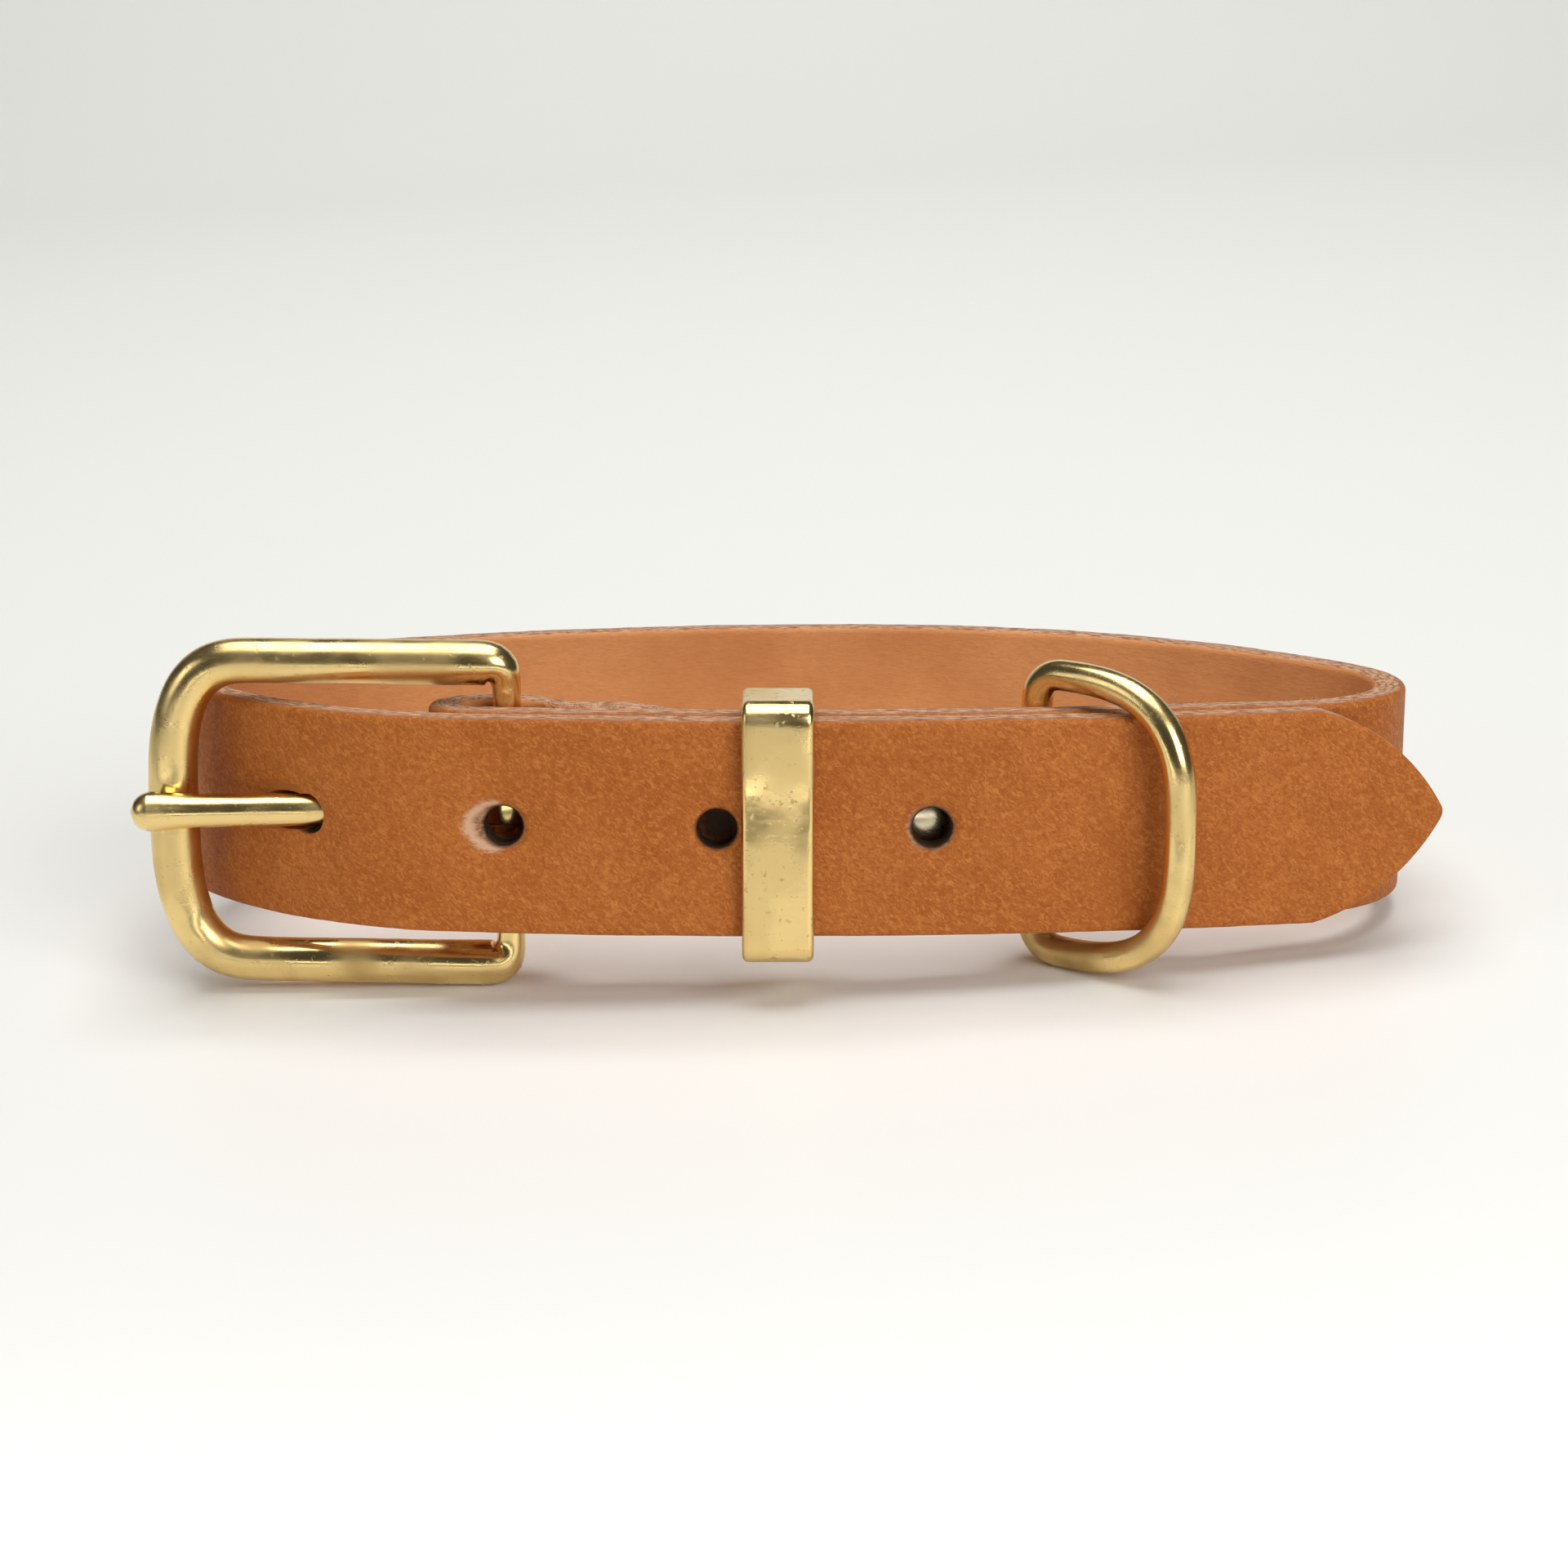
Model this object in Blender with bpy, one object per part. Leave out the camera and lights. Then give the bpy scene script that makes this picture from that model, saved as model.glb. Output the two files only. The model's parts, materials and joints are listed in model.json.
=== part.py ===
"""Leather pet collar, buckled into its loop and standing on its edge.

One strap is wound like a spring: its pointed free end lies in front, runs left behind the buckle,
round the back and the right turn, under its own free end, and is folded round the buckle's heel bar.
The turned-back end holds the keeper and the D-ring between three rivets.

Plan positions are (x, y): x to the right, y away from the front. A heading is the angle that the
strap has turned by, from 0 where it runs straight to the left along the front. Metres, +Z up.
"""

import math

import bmesh
import bpy
from mathutils import Matrix, Vector

# Leather strap
STRAP_WIDTH = 0.0200
STRAP_THICKNESS = 0.0030
EDGE_BEVEL = 0.0005
POINT_LENGTH = 0.0126
LAYER_GAP = 0.0003
LOOP_WIDTH = 0.1200
UNDERLAP = 0.0122

# Punched holes, counted from the pointed end
POINT_TO_HOLE = 0.0484
HOLE_PITCH = 0.0195
TONGUE_HOLE = 3
HOLE_DIAMETER = 0.0036
HOLE_SIDES = 14
MOUTH_DEPTH = 0.0005
HOLE_MOUTHS = (
    # width of the pressed-in mouth and its stretch away from the point, as shares of the hole
    (1.50, 0.10),
    (1.20, 0.00),
    (1.40, 0.40),
    (1.10, 0.00),
    (1.20, 0.00),
)

# Turned-back end of the strap, measured to the right from the heel bar
TURNED_THICKNESS = 0.0012
TURNED_WIDTH = 0.0170
TURNED_MARGIN = 0.0020
FOLD_SLACK = 0.0027
FLANK = 0.0045
SLOT_CLEARANCE = 0.0005

# Buckle: a cast frame with a thinner heel bar
HEEL_TO_HOLE = 0.0187
HEEL_HEADING = math.radians(5.4)
HEEL_BAR = 0.0026
FRAME_BAR = 0.0042
FRAME_LEFT_BAR = 0.0046
FRAME_REACH = 0.0316
FRAME_HEIGHT = 0.0328
FRAME_BOW = 0.0080
FRAME_SQUARENESS = 2.9
FRAME_HEEL_CORNER = 0.0016
FRAME_TURN = math.radians(3.5)
FRAME_DROP = 0.0006

# Tongue, hooked round the heel bar
TONGUE_DIAMETER = 0.0031
TONGUE_HEAD = 0.0037
TONGUE_OVERHANG = 0.0011
TONGUE_EYE_WALL = 0.0015
TONGUE_RISE = 0.0002

# Keeper: a bent band round the free end and the strap under it
KEEPER_AT = 0.0255
KEEPER_WIDTH = 0.0065
KEEPER_WALL = 0.0013
KEEPER_HEADROOM = 0.0008
KEEPER_DROP = 0.0002
KEEPER_CORNER = 0.0019
KEEPER_RIM = 0.0005

# D-ring: round wire, its straight bar in the turned-back end
RING_AT = 0.0499
RING_WIRE = 0.0029
RING_HEIGHT = 0.0290
RING_DEPTH = 0.0176
RING_CORNER = 0.0026
RING_SQUARENESS = 3.0
RING_SWING = math.radians(41.0)
RING_DROP = 0.0002

# Rivets through the two legs of the fold, between the held pieces
RIVET_HEAD = 0.0052
RIVET_DOME = 0.0009
RIVET_RIM = 0.0003
RIVET_SHANK = 0.0024

CLEARANCE = 0.0003
FACET_SAG = 0.00005
LEATHER_DENSITY = 950.0
BRASS_DENSITY = 8450.0

# The loop's plan, run by run from the pointed end
LOOP_RUNS = (
    # run, radius as a share of the loop's width, heading at its end in degrees
    ("front", 2.225, None),
    ("left shoulder", 0.320, 55.3),
    ("left end", 0.131, 153.4),
    ("back left", None, 181.1),
    ("back right", None, 234.5),
    ("right end", 0.1125, None),
)

PITCH = STRAP_THICKNESS + LAYER_GAP
FRONT_RADIUS = LOOP_RUNS[0][1] * LOOP_WIDTH
UNDER_RADIUS = FRONT_RADIUS - PITCH
HEEL_FOLD = HEEL_BAR / 2 + CLEARANCE
TONGUE_HOLE_AT = POINT_TO_HOLE + TONGUE_HOLE * HOLE_PITCH
HEEL_AT = TONGUE_HOLE_AT - HEEL_TO_HOLE


def inward(heading):
    """Unit plan vector from the strap's outer face towards the inside of the loop."""
    return Vector((math.sin(heading), math.cos(heading)))


class Arc:
    """A run of the strap's outer face: an arc of one radius between two headings."""

    def __init__(self, start, first, last, radius):
        self.centre = start + radius * inward(first)
        self.first = first
        self.last = last
        self.radius = radius
        self.length = (last - first) * radius

    def at(self, distance):
        heading = self.first + distance / self.radius
        return self.centre - self.radius * inward(heading), heading

    def end(self):
        return self.centre - self.radius * inward(self.last)

    def steps(self):
        """Distances at which the arc is cut, so that a flat facet leaves it by FACET_SAG at most."""
        angle = 2 * math.acos(1 - FACET_SAG / self.radius)
        count = max(1, math.ceil((self.last - self.first) / angle))
        return [self.length * k / count for k in range(count)]


def chord(first, last):
    """Plan vector from end to end of an arc of radius 1."""
    return inward(first) - inward(last)


def strap_arcs():
    """The outer face from the point to the end of the fold. The back's two radii close the loop."""
    point_heading = HEEL_HEADING - HEEL_AT / FRONT_RADIUS
    front_end = HEEL_HEADING + FOLD_SLACK / FRONT_RADIUS
    under_start = point_heading + UNDERLAP / FRONT_RADIUS
    headings = [point_heading, front_end]
    headings += [math.radians(run[2]) for run in LOOP_RUNS[1:-1]]
    headings.append(under_start + 2 * math.pi)
    radii = [None if run[1] is None else run[1] * LOOP_WIDTH for run in LOOP_RUNS]
    chords = [chord(a, b) for a, b in zip(headings, headings[1:])]
    laid = sum((r * c for r, c in zip(radii, chords) if r is not None), Vector((0, 0)))
    under_point = FRONT_RADIUS * chord(point_heading, under_start) + PITCH * inward(under_start)
    missing = under_point - laid
    left, right = (c for r, c in zip(radii, chords) if r is None)
    scale = left.x * right.y - left.y * right.x
    solved = [
        (missing.x * right.y - missing.y * right.x) / scale,
        (left.x * missing.y - left.y * missing.x) / scale,
    ]
    start = -FRONT_RADIUS * chord(point_heading, 0.0)
    arcs = []
    for first, last, radius in zip(headings, headings[1:], radii):
        arcs.append(Arc(start, first, last, radius or solved.pop(0)))
        start = arcs[-1].end()
    arcs.append(Arc(start, under_start, front_end, UNDER_RADIUS))
    arcs.append(Arc(arcs[-1].end(), front_end, front_end + math.pi, STRAP_THICKNESS + HEEL_FOLD))
    return arcs


# What the turned-back end passes over, measured from the heel bar
HELD = (
    # centre, half its width, room between the two legs
    (0.0, HEEL_FOLD, 2 * HEEL_FOLD),
    (KEEPER_AT, KEEPER_WIDTH / 2 + CLEARANCE, KEEPER_WALL + 2 * CLEARANCE),
    (RING_AT, RING_WIRE / 2, RING_WIRE + 2 * CLEARANCE),
)


def flat_from(held):
    """Distance at which the two legs lie together again past a held piece."""
    return held[0] + held[1] + FLANK


def flat_until(held):
    """Distance at which the two legs part before a held piece."""
    return held[0] - held[1] - FLANK


RIVETS = (
    # name, distance from the heel bar
    ("rivet_heel", (flat_from(HELD[0]) + flat_until(HELD[1])) / 2),
    ("rivet_middle", (flat_from(HELD[1]) + flat_until(HELD[2])) / 2),
    ("rivet_end", flat_from(HELD[2]) + RIVET_HEAD / 2 + CLEARANCE),
)
TURNED_LENGTH = RIVETS[-1][1] + RIVET_HEAD / 2 + TURNED_MARGIN

ARCS = strap_arcs()
FOLD_END = sum(arc.length for arc in ARCS)
UNDER_HEEL = FOLD_END - ARCS[-1].length - FOLD_SLACK
BLANK_LENGTH = FOLD_END + FOLD_SLACK + TURNED_LENGTH


def ease(share):
    """Smooth step from 0 to 1."""
    share = min(max(share, 0.0), 1.0)
    return share * share * (3 - 2 * share)


def leg_room(distance):
    """Room between the two legs of the fold at this distance from the heel bar."""
    room = LAYER_GAP
    distance = max(distance, HELD[0][0])
    for centre, half, wanted in HELD:
        beside = abs(distance - centre) - half
        room = max(room, LAYER_GAP + (wanted - LAYER_GAP) * (1 - ease(beside / FLANK)))
    return room


def skive(distance):
    """Share of the thinning of the turned-back end: 0 at the first rivet, 1 at the keeper."""
    first = RIVETS[0][1] + RIVET_HEAD / 2
    return ease((distance - first) / (KEEPER_AT - KEEPER_WIDTH / 2 - first))


def leg_thickness(distance):
    return STRAP_THICKNESS + (TURNED_THICKNESS - STRAP_THICKNESS) * skive(distance)


def leg_point(distance, depth):
    """Plan point in the fold, at a depth from the outer face of the strap under the free end."""
    heading = HEEL_HEADING - distance / UNDER_RADIUS
    centre = ARCS[-2].centre
    return centre - (UNDER_RADIUS - depth) * inward(heading), heading


def bent(flat, depth):
    """Plan point of the finished strap for a place on the flat blank."""
    if flat <= FOLD_END:
        for arc in ARCS:
            if flat <= arc.length or arc is ARCS[-1]:
                break
            flat -= arc.length
        point, heading = arc.at(flat)
        return point + depth * inward(heading)
    distance = flat - FOLD_END - FOLD_SLACK
    flesh = 1 - depth / STRAP_THICKNESS
    far = STRAP_THICKNESS + leg_room(distance) + leg_thickness(distance) * flesh
    return leg_point(distance, far)[0]


def stations():
    """Places along the blank where it may bend."""
    places = []
    start = 0.0
    for arc in ARCS:
        places += [start + step for step in arc.steps()]
        start += arc.length
    steps = math.ceil((BLANK_LENGTH - FOLD_END) / (FLANK / 4))
    places += [FOLD_END + (BLANK_LENGTH - FOLD_END) * k / steps for k in range(steps)]
    return [place for place in places if POINT_LENGTH / 8 < place < BLANK_LENGTH]


def add_object(name, mesh, material):
    obj = bpy.data.objects.new(name, mesh)
    bpy.context.scene.collection.objects.link(obj)
    if material is not None:
        obj.data.materials.append(material)
    return obj


def add_cutter(name, mesh):
    cutter = add_object(name, mesh, None)
    cutter.hide_render = True
    cutter.display_type = "WIRE"
    return cutter


def mesh_from(bm, name):
    mesh = bpy.data.meshes.new(name)
    bmesh.ops.recalc_face_normals(bm, faces=bm.faces)
    bm.to_mesh(mesh)
    bm.free()
    return mesh


def boolean(obj, cutter, operation="DIFFERENCE"):
    modifier = obj.modifiers.new(f"{operation.lower()} {cutter.name}", "BOOLEAN")
    modifier.operation = operation
    modifier.solver = "EXACT"
    modifier.object = cutter


def apply_modifiers(obj):
    graph = bpy.context.evaluated_depsgraph_get()
    mesh = bpy.data.meshes.new_from_object(obj.evaluated_get(graph))
    obj.modifiers.clear()
    obj.data = mesh


def make_material(name, colour, roughness, metallic):
    material = bpy.data.materials.new(name)
    material.use_nodes = True
    shader = material.node_tree.nodes["Principled BSDF"]
    shader.inputs["Base Color"].default_value = (*colour, 1.0)
    shader.inputs["Roughness"].default_value = roughness
    shader.inputs["Metallic"].default_value = metallic
    material.diffuse_color = (*colour, 1.0)
    return material


def blank_outline():
    """Half of the flat blank's outline: (length, half width) from the point to the turned-back end."""
    half = STRAP_WIDTH / 2
    chord_length = math.hypot(POINT_LENGTH, half)
    spread = math.asin(min(1.0, chord_length / (2 * STRAP_WIDTH)))
    slope = math.atan2(half, POINT_LENGTH)
    outline = []
    steps = 7
    for k in range(steps + 1):
        turn = spread * (2 * k / steps - 1)
        along = chord_length / 2 + STRAP_WIDTH * math.sin(turn)
        rise = STRAP_WIDTH * (math.cos(turn) - math.cos(spread))
        outline.append((
            along * math.cos(slope) - rise * math.sin(slope),
            along * math.sin(slope) + rise * math.cos(slope),
        ))
    outline[0] = (0.0, 0.0)
    heel_flat = FOLD_END + FOLD_SLACK
    narrow = TURNED_WIDTH / 2
    outline.append((heel_flat + RIVETS[0][1], half))
    outline.append((heel_flat + KEEPER_AT - KEEPER_WIDTH / 2, narrow))
    corner = TURNED_THICKNESS
    outline.append((BLANK_LENGTH - corner, narrow))
    outline.append((BLANK_LENGTH, narrow - corner))
    return outline


def cylinder_along_y(radius, low, high, place, sides=HOLE_SIDES):
    """Cutter mesh at a (length, height) place of the blank, from one depth to another."""
    bm = bmesh.new()
    bmesh.ops.create_cone(
        bm, cap_ends=True, segments=sides, radius1=radius, radius2=radius, depth=high - low
    )
    bmesh.ops.rotate(bm, verts=bm.verts, matrix=Matrix.Rotation(math.pi / 2, 3, "X"))
    bmesh.ops.translate(bm, verts=bm.verts, vec=(place[0], (low + high) / 2, place[1]))
    return bm


def turned(profile, steps):
    """Solid of revolution about Y from (radius, depth) points that start and end on the axis."""
    bm = bmesh.new()
    verts = [bm.verts.new((radius, depth, 0.0)) for radius, depth in profile]
    edges = [bm.edges.new(pair) for pair in zip(verts, verts[1:])]
    bmesh.ops.spin(
        bm, geom=verts + edges, axis=(0.0, 1.0, 0.0), cent=(0.0, 0.0, 0.0),
        angle=2 * math.pi, steps=steps, use_merge=True,
    )
    bmesh.ops.remove_doubles(bm, verts=bm.verts, dist=1e-6)
    return bm


def hole_cutter(mouth, stretch):
    """Round punch whose mouth is pressed in and pulled away from the point."""
    hole = HOLE_DIAMETER / 2
    profile = [
        (0.0, -MOUTH_DEPTH),
        (2 * mouth - hole, -MOUTH_DEPTH),
        (hole, MOUTH_DEPTH),
        (hole, 2 * STRAP_THICKNESS),
        (0.0, 2 * STRAP_THICKNESS),
    ]
    bm = turned(profile, HOLE_SIDES)
    for vert in bm.verts:
        if vert.co.y < 0 < vert.co.x:
            vert.co.x += 2 * stretch * vert.co.x / mouth
    return bm


def blank_cutters():
    """Everything that is punched, sunk or slotted in the flat blank."""
    cutters = []
    over = STRAP_THICKNESS
    for k, (width, stretch) in enumerate(HOLE_MOUTHS):
        bm = hole_cutter(width * HOLE_DIAMETER / 2, stretch * HOLE_DIAMETER)
        bmesh.ops.translate(bm, verts=bm.verts, vec=(POINT_TO_HOLE + k * HOLE_PITCH, 0.0, 0.0))
        cutters.append(add_cutter(f"hole_{k + 1}", mesh_from(bm, f"hole_{k + 1}")))
    for name, distance in RIVETS:
        for leg, flat in (("under", UNDER_HEEL - distance), ("turned", FOLD_END + FOLD_SLACK + distance)):
            bm = cylinder_along_y(RIVET_SHANK / 2 + CLEARANCE, -over, 2 * over, (flat, 0.0))
            cutters.append(add_cutter(f"{name}_{leg}", mesh_from(bm, f"{name}_{leg}")))
        sunk = RIVET_DOME + RIVET_RIM
        bm = cylinder_along_y(RIVET_HEAD / 2 + CLEARANCE, -over, sunk, (UNDER_HEEL - distance, 0.0), 18)
        cutters.append(add_cutter(f"{name}_seat", mesh_from(bm, f"{name}_seat")))
    eye = HEEL_FOLD + TONGUE_EYE_WALL + SLOT_CLEARANCE
    first = UNDER_HEEL - eye
    last = FOLD_END + FOLD_SLACK + eye
    slot_half = TONGUE_DIAMETER / 2 + SLOT_CLEARANCE
    bm = bmesh.new()
    bmesh.ops.create_cube(bm, size=1.0)
    bmesh.ops.scale(bm, verts=bm.verts, vec=(last - first, 4 * over, 2 * slot_half))
    bmesh.ops.translate(bm, verts=bm.verts, vec=((first + last) / 2, over / 2, 0.0))
    ends = [e for e in bm.edges if abs(e.verts[0].co.y - e.verts[1].co.y) > over]
    bmesh.ops.bevel(
        bm, geom=ends, offset=slot_half * 0.9, segments=4, profile=0.5, affect="EDGES", material=-1
    )
    cutters.append(add_cutter("tongue_slot", mesh_from(bm, "tongue_slot")))
    return cutters


def make_strap(material):
    """Cut the blank flat, bevel its edges, punch it, and bend it into the loop."""
    half = blank_outline()
    outline = half + [(length, -height) for length, height in reversed(half[1:])]
    bm = bmesh.new()
    face = bm.faces.new([bm.verts.new((length, 0.0, height)) for length, height in outline])
    walls = bmesh.ops.extrude_face_region(bm, geom=[face])
    moved = [v for v in walls["geom"] if isinstance(v, bmesh.types.BMVert)]
    bmesh.ops.translate(bm, verts=moved, vec=(0.0, STRAP_THICKNESS, 0.0))
    rims = [e for e in bm.edges if abs(e.verts[0].co.y - e.verts[1].co.y) < STRAP_THICKNESS / 2]
    bmesh.ops.bevel(
        bm, geom=rims, offset=EDGE_BEVEL, segments=1, profile=0.5, affect="EDGES", material=-1
    )
    for place in stations():
        everything = bm.verts[:] + bm.edges[:] + bm.faces[:]
        bmesh.ops.bisect_plane(
            bm, geom=everything, dist=1e-6, plane_co=(place, 0.0, 0.0), plane_no=(1.0, 0.0, 0.0)
        )
    strap = add_object("strap", mesh_from(bm, "strap"), material)
    cutters = blank_cutters()
    for cutter in cutters:
        boolean(strap, cutter)
    apply_modifiers(strap)
    for cutter in cutters:
        bpy.data.objects.remove(cutter)
    bm = bmesh.new()
    bm.from_mesh(strap.data)
    for vert in bm.verts:
        plan = bent(vert.co.x, vert.co.y)
        vert.co = (plan.x, plan.y, vert.co.z)
    bm.to_mesh(strap.data)
    bm.free()
    return strap


def make_tube(name, route, sides, cyclic):
    """Mesh of a round bar along (x, y, z, radius) stations, as a bevelled curve."""
    curve = bpy.data.curves.new(name, "CURVE")
    curve.dimensions = "3D"
    curve.bevel_depth = 1.0
    curve.bevel_resolution = sides // 2 - 2
    curve.use_fill_caps = True
    spline = curve.splines.new("POLY")
    spline.points.add(len(route) - 1)
    for point, (x, y, z, radius) in zip(spline.points, route):
        point.co = (x, y, z, 1.0)
        point.radius = radius
    spline.use_cyclic_u = cyclic
    obj = bpy.data.objects.new(name, curve)
    bpy.context.scene.collection.objects.link(obj)
    graph = bpy.context.evaluated_depsgraph_get()
    graph.update()
    bm = bmesh.new()
    evaluated = obj.evaluated_get(graph)
    bm.from_mesh(evaluated.to_mesh())
    evaluated.to_mesh_clear()
    bpy.data.objects.remove(obj)
    bmesh.ops.remove_doubles(bm, verts=bm.verts, dist=1e-6)
    return mesh_from(bm, name)


def corner(centre, radius, first, last, steps):
    """(x, z, share) stations of a rounded corner, by angle in degrees."""
    out = []
    for k in range(steps + 1):
        angle = math.radians(first + (last - first) * k / steps)
        out.append((
            centre[0] + radius * math.cos(angle),
            centre[1] + radius * math.sin(angle),
            k / steps,
        ))
    return out


def bow(reach, half, squareness, steps):
    """(x, z, share) stations of a squared quarter oval, from its top to just before its tip."""
    out = []
    power = 2 / squareness
    for k in range(steps):
        angle = math.pi / 2 * k / steps
        out.append((reach * math.sin(angle) ** power, half * math.cos(angle) ** power, k / steps))
    return out


def frame_route():
    """The buckle's centre line, once round from the top of the heel bar, with its half thickness."""
    half = (FRAME_HEIGHT - FRAME_BAR) / 2
    heel, bar, left = HEEL_BAR / 2, FRAME_BAR / 2, FRAME_LEFT_BAR / 2
    right_x = -FRAME_HEEL_CORNER
    left_x = FRAME_BOW - FRAME_REACH
    upper = []
    for x, z, share in corner((right_x, half - FRAME_HEEL_CORNER), FRAME_HEEL_CORNER, 0, 90, 4):
        upper.append((x, 0.0, z, heel + (bar - heel) * ease(share * 1.3)))
    upper.append(((right_x + left_x) / 2, 0.0, half, bar))
    for x, z, share in bow(FRAME_BOW, half, FRAME_SQUARENESS, 11):
        upper.append((left_x - x, 0.0, z, bar + (left - bar) * share))
    middle = (-FRAME_REACH, 0.0, 0.0, left)
    lower = [(x, y, -z, radius) for x, y, z, radius in reversed(upper)]
    stub = [(0.0, 0.0, -half + 2.2 * FRAME_BAR / 2, heel), (0.0, 0.0, half - 2.2 * FRAME_BAR / 2, heel)]
    return upper + [middle] + lower + stub


def make_buckle_frame(material):
    frame = add_object("buckle_frame", make_tube("buckle_frame", frame_route(), 12, True), material)
    heel = leg_point(0.0, STRAP_THICKNESS + HEEL_FOLD)[0]
    frame.location = (heel.x, heel.y, -FRAME_DROP)
    frame.rotation_euler.z = -FRAME_TURN
    return frame


def tongue_route(extra):
    """Tongue's centre line from the heel bar's axis, with its half thickness grown by extra."""
    over_bar = FRAME_LEFT_BAR / 2 + CLEARANCE + TONGUE_DIAMETER / 2
    fall = math.asin(over_bar / FRAME_REACH)
    reach = FRAME_REACH * math.cos(fall)
    length = reach + FRAME_LEFT_BAR / 2 + TONGUE_OVERHANG - TONGUE_HEAD / 2
    body, head = TONGUE_DIAMETER / 2 + extra, TONGUE_HEAD / 2 + extra
    route = [(-HEEL_FOLD - TONGUE_EYE_WALL / 2, 0.0, 0.0, body)]
    steps = 6
    for k in range(1, steps + 1):
        route.append((-reach * 0.9 * k / steps, 0.0, 0.0, body))
    route.append((-reach, 0.0, 0.0, body + (head - body) * 0.35))
    route.append((-(reach + length) / 2, 0.0, 0.0, head))
    for k in range(6):
        angle = math.pi / 2 * k / 5.3
        route.append((-length - head * math.sin(angle), 0.0, 0.0, head * math.cos(angle)))
    return route, -FRAME_TURN + fall


def make_tongue(material):
    """Round bar from an eye on the heel bar, through the strap's hole, across the left bar."""
    route, turn = tongue_route(0.0)
    heel = leg_point(0.0, STRAP_THICKNESS + HEEL_FOLD)[0]
    bm = bmesh.new()
    bmesh.ops.create_cone(
        bm, cap_ends=True, segments=20, depth=TONGUE_DIAMETER,
        radius1=HEEL_FOLD + TONGUE_EYE_WALL, radius2=HEEL_FOLD + TONGUE_EYE_WALL,
    )
    tongue = add_object("tongue", mesh_from(bm, "tongue"), material)
    shaft = add_cutter("tongue_shaft", make_tube("tongue_shaft", route, 12, False))
    bm = bmesh.new()
    bmesh.ops.create_cone(
        bm, cap_ends=True, segments=20, depth=2 * TONGUE_HEAD, radius1=HEEL_FOLD, radius2=HEEL_FOLD
    )
    bore = add_cutter("tongue_bore", mesh_from(bm, "tongue_bore"))
    boolean(tongue, shaft, "UNION")
    boolean(tongue, bore)
    apply_modifiers(tongue)
    for cutter in (shaft, bore):
        bpy.data.objects.remove(cutter)
    tongue.location = (heel.x, heel.y, TONGUE_RISE)
    tongue.rotation_euler.z = turn
    return tongue


def open_tongue_hole(strap):
    """Stretch the strap's hole along the tongue that passes through it on the slant."""
    route, turn = tongue_route(CLEARANCE)
    heel = leg_point(0.0, STRAP_THICKNESS + HEEL_FOLD)[0]
    cutter = add_cutter("tongue_channel", make_tube("tongue_channel", route, 12, False))
    cutter.location = (heel.x, heel.y, TONGUE_RISE)
    cutter.rotation_euler.z = turn
    boolean(strap, cutter)


def rounded_box(size, radius, segments):
    """Box along X whose four long edges are rounded."""
    bm = bmesh.new()
    bmesh.ops.create_cube(bm, size=1.0)
    bmesh.ops.scale(bm, verts=bm.verts, vec=size)
    long_edges = [e for e in bm.edges if abs(e.verts[0].co.x - e.verts[1].co.x) > size[0] / 2]
    bmesh.ops.bevel(
        bm, geom=long_edges, offset=radius, segments=segments, profile=0.5, affect="EDGES", material=-1
    )
    return bm


def make_keeper(material):
    """Rectangular band that holds the free end down; its back bar lies in the fold."""
    inner_depth = 2 * STRAP_THICKNESS + LAYER_GAP + 2 * CLEARANCE
    inner_height = STRAP_WIDTH + 2 * KEEPER_HEADROOM
    outer = (KEEPER_WIDTH, inner_depth + 2 * KEEPER_WALL, inner_height + 2 * KEEPER_WALL)
    keeper = add_object("keeper", mesh_from(rounded_box(outer, KEEPER_CORNER, 5), "keeper"), material)
    hollow = (2 * KEEPER_WIDTH, inner_depth, inner_height)
    inner_corner = KEEPER_CORNER - KEEPER_WALL
    cutter = add_cutter("keeper_hollow", mesh_from(rounded_box(hollow, inner_corner, 3), "keeper_hollow"))
    boolean(keeper, cutter)
    rim = keeper.modifiers.new("rim", "BEVEL")
    rim.width = KEEPER_RIM
    rim.segments = 2
    rim.limit_method = "ANGLE"
    rim.angle_limit = math.radians(60)
    apply_modifiers(keeper)
    bpy.data.objects.remove(cutter)
    middle = STRAP_THICKNESS - (inner_depth / 2 - CLEARANCE)
    place, heading = leg_point(KEEPER_AT, middle)
    keeper.location = (place.x, place.y, -KEEPER_DROP)
    keeper.rotation_euler.z = -heading
    return keeper


def ring_route():
    """Centre line of the D, once round: the straight bar on Z and the bow towards +X."""
    wire = RING_WIRE / 2
    half = RING_HEIGHT / 2 - wire
    reach = RING_DEPTH - wire - RING_CORNER
    upper = []
    for x, z, _ in corner((RING_CORNER, half - RING_CORNER), RING_CORNER, 180, 90, 5):
        upper.append((x, 0.0, z, wire))
    for x, z, _ in bow(reach, half, RING_SQUARENESS, 13)[1:]:
        upper.append((RING_CORNER + x, 0.0, z, wire))
    apex = (RING_CORNER + reach, 0.0, 0.0, wire)
    lower = [(x, y, -z, radius) for x, y, z, radius in reversed(upper)]
    return upper + [apex] + lower


def make_d_ring(material):
    ring = add_object("d_ring", make_tube("d_ring", ring_route(), 12, True), material)
    place, _ = leg_point(RING_AT, STRAP_THICKNESS + CLEARANCE + RING_WIRE / 2)
    ring.location = (place.x, place.y, -RING_DROP)
    ring.rotation_euler.z = -RING_SWING
    return ring


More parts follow.
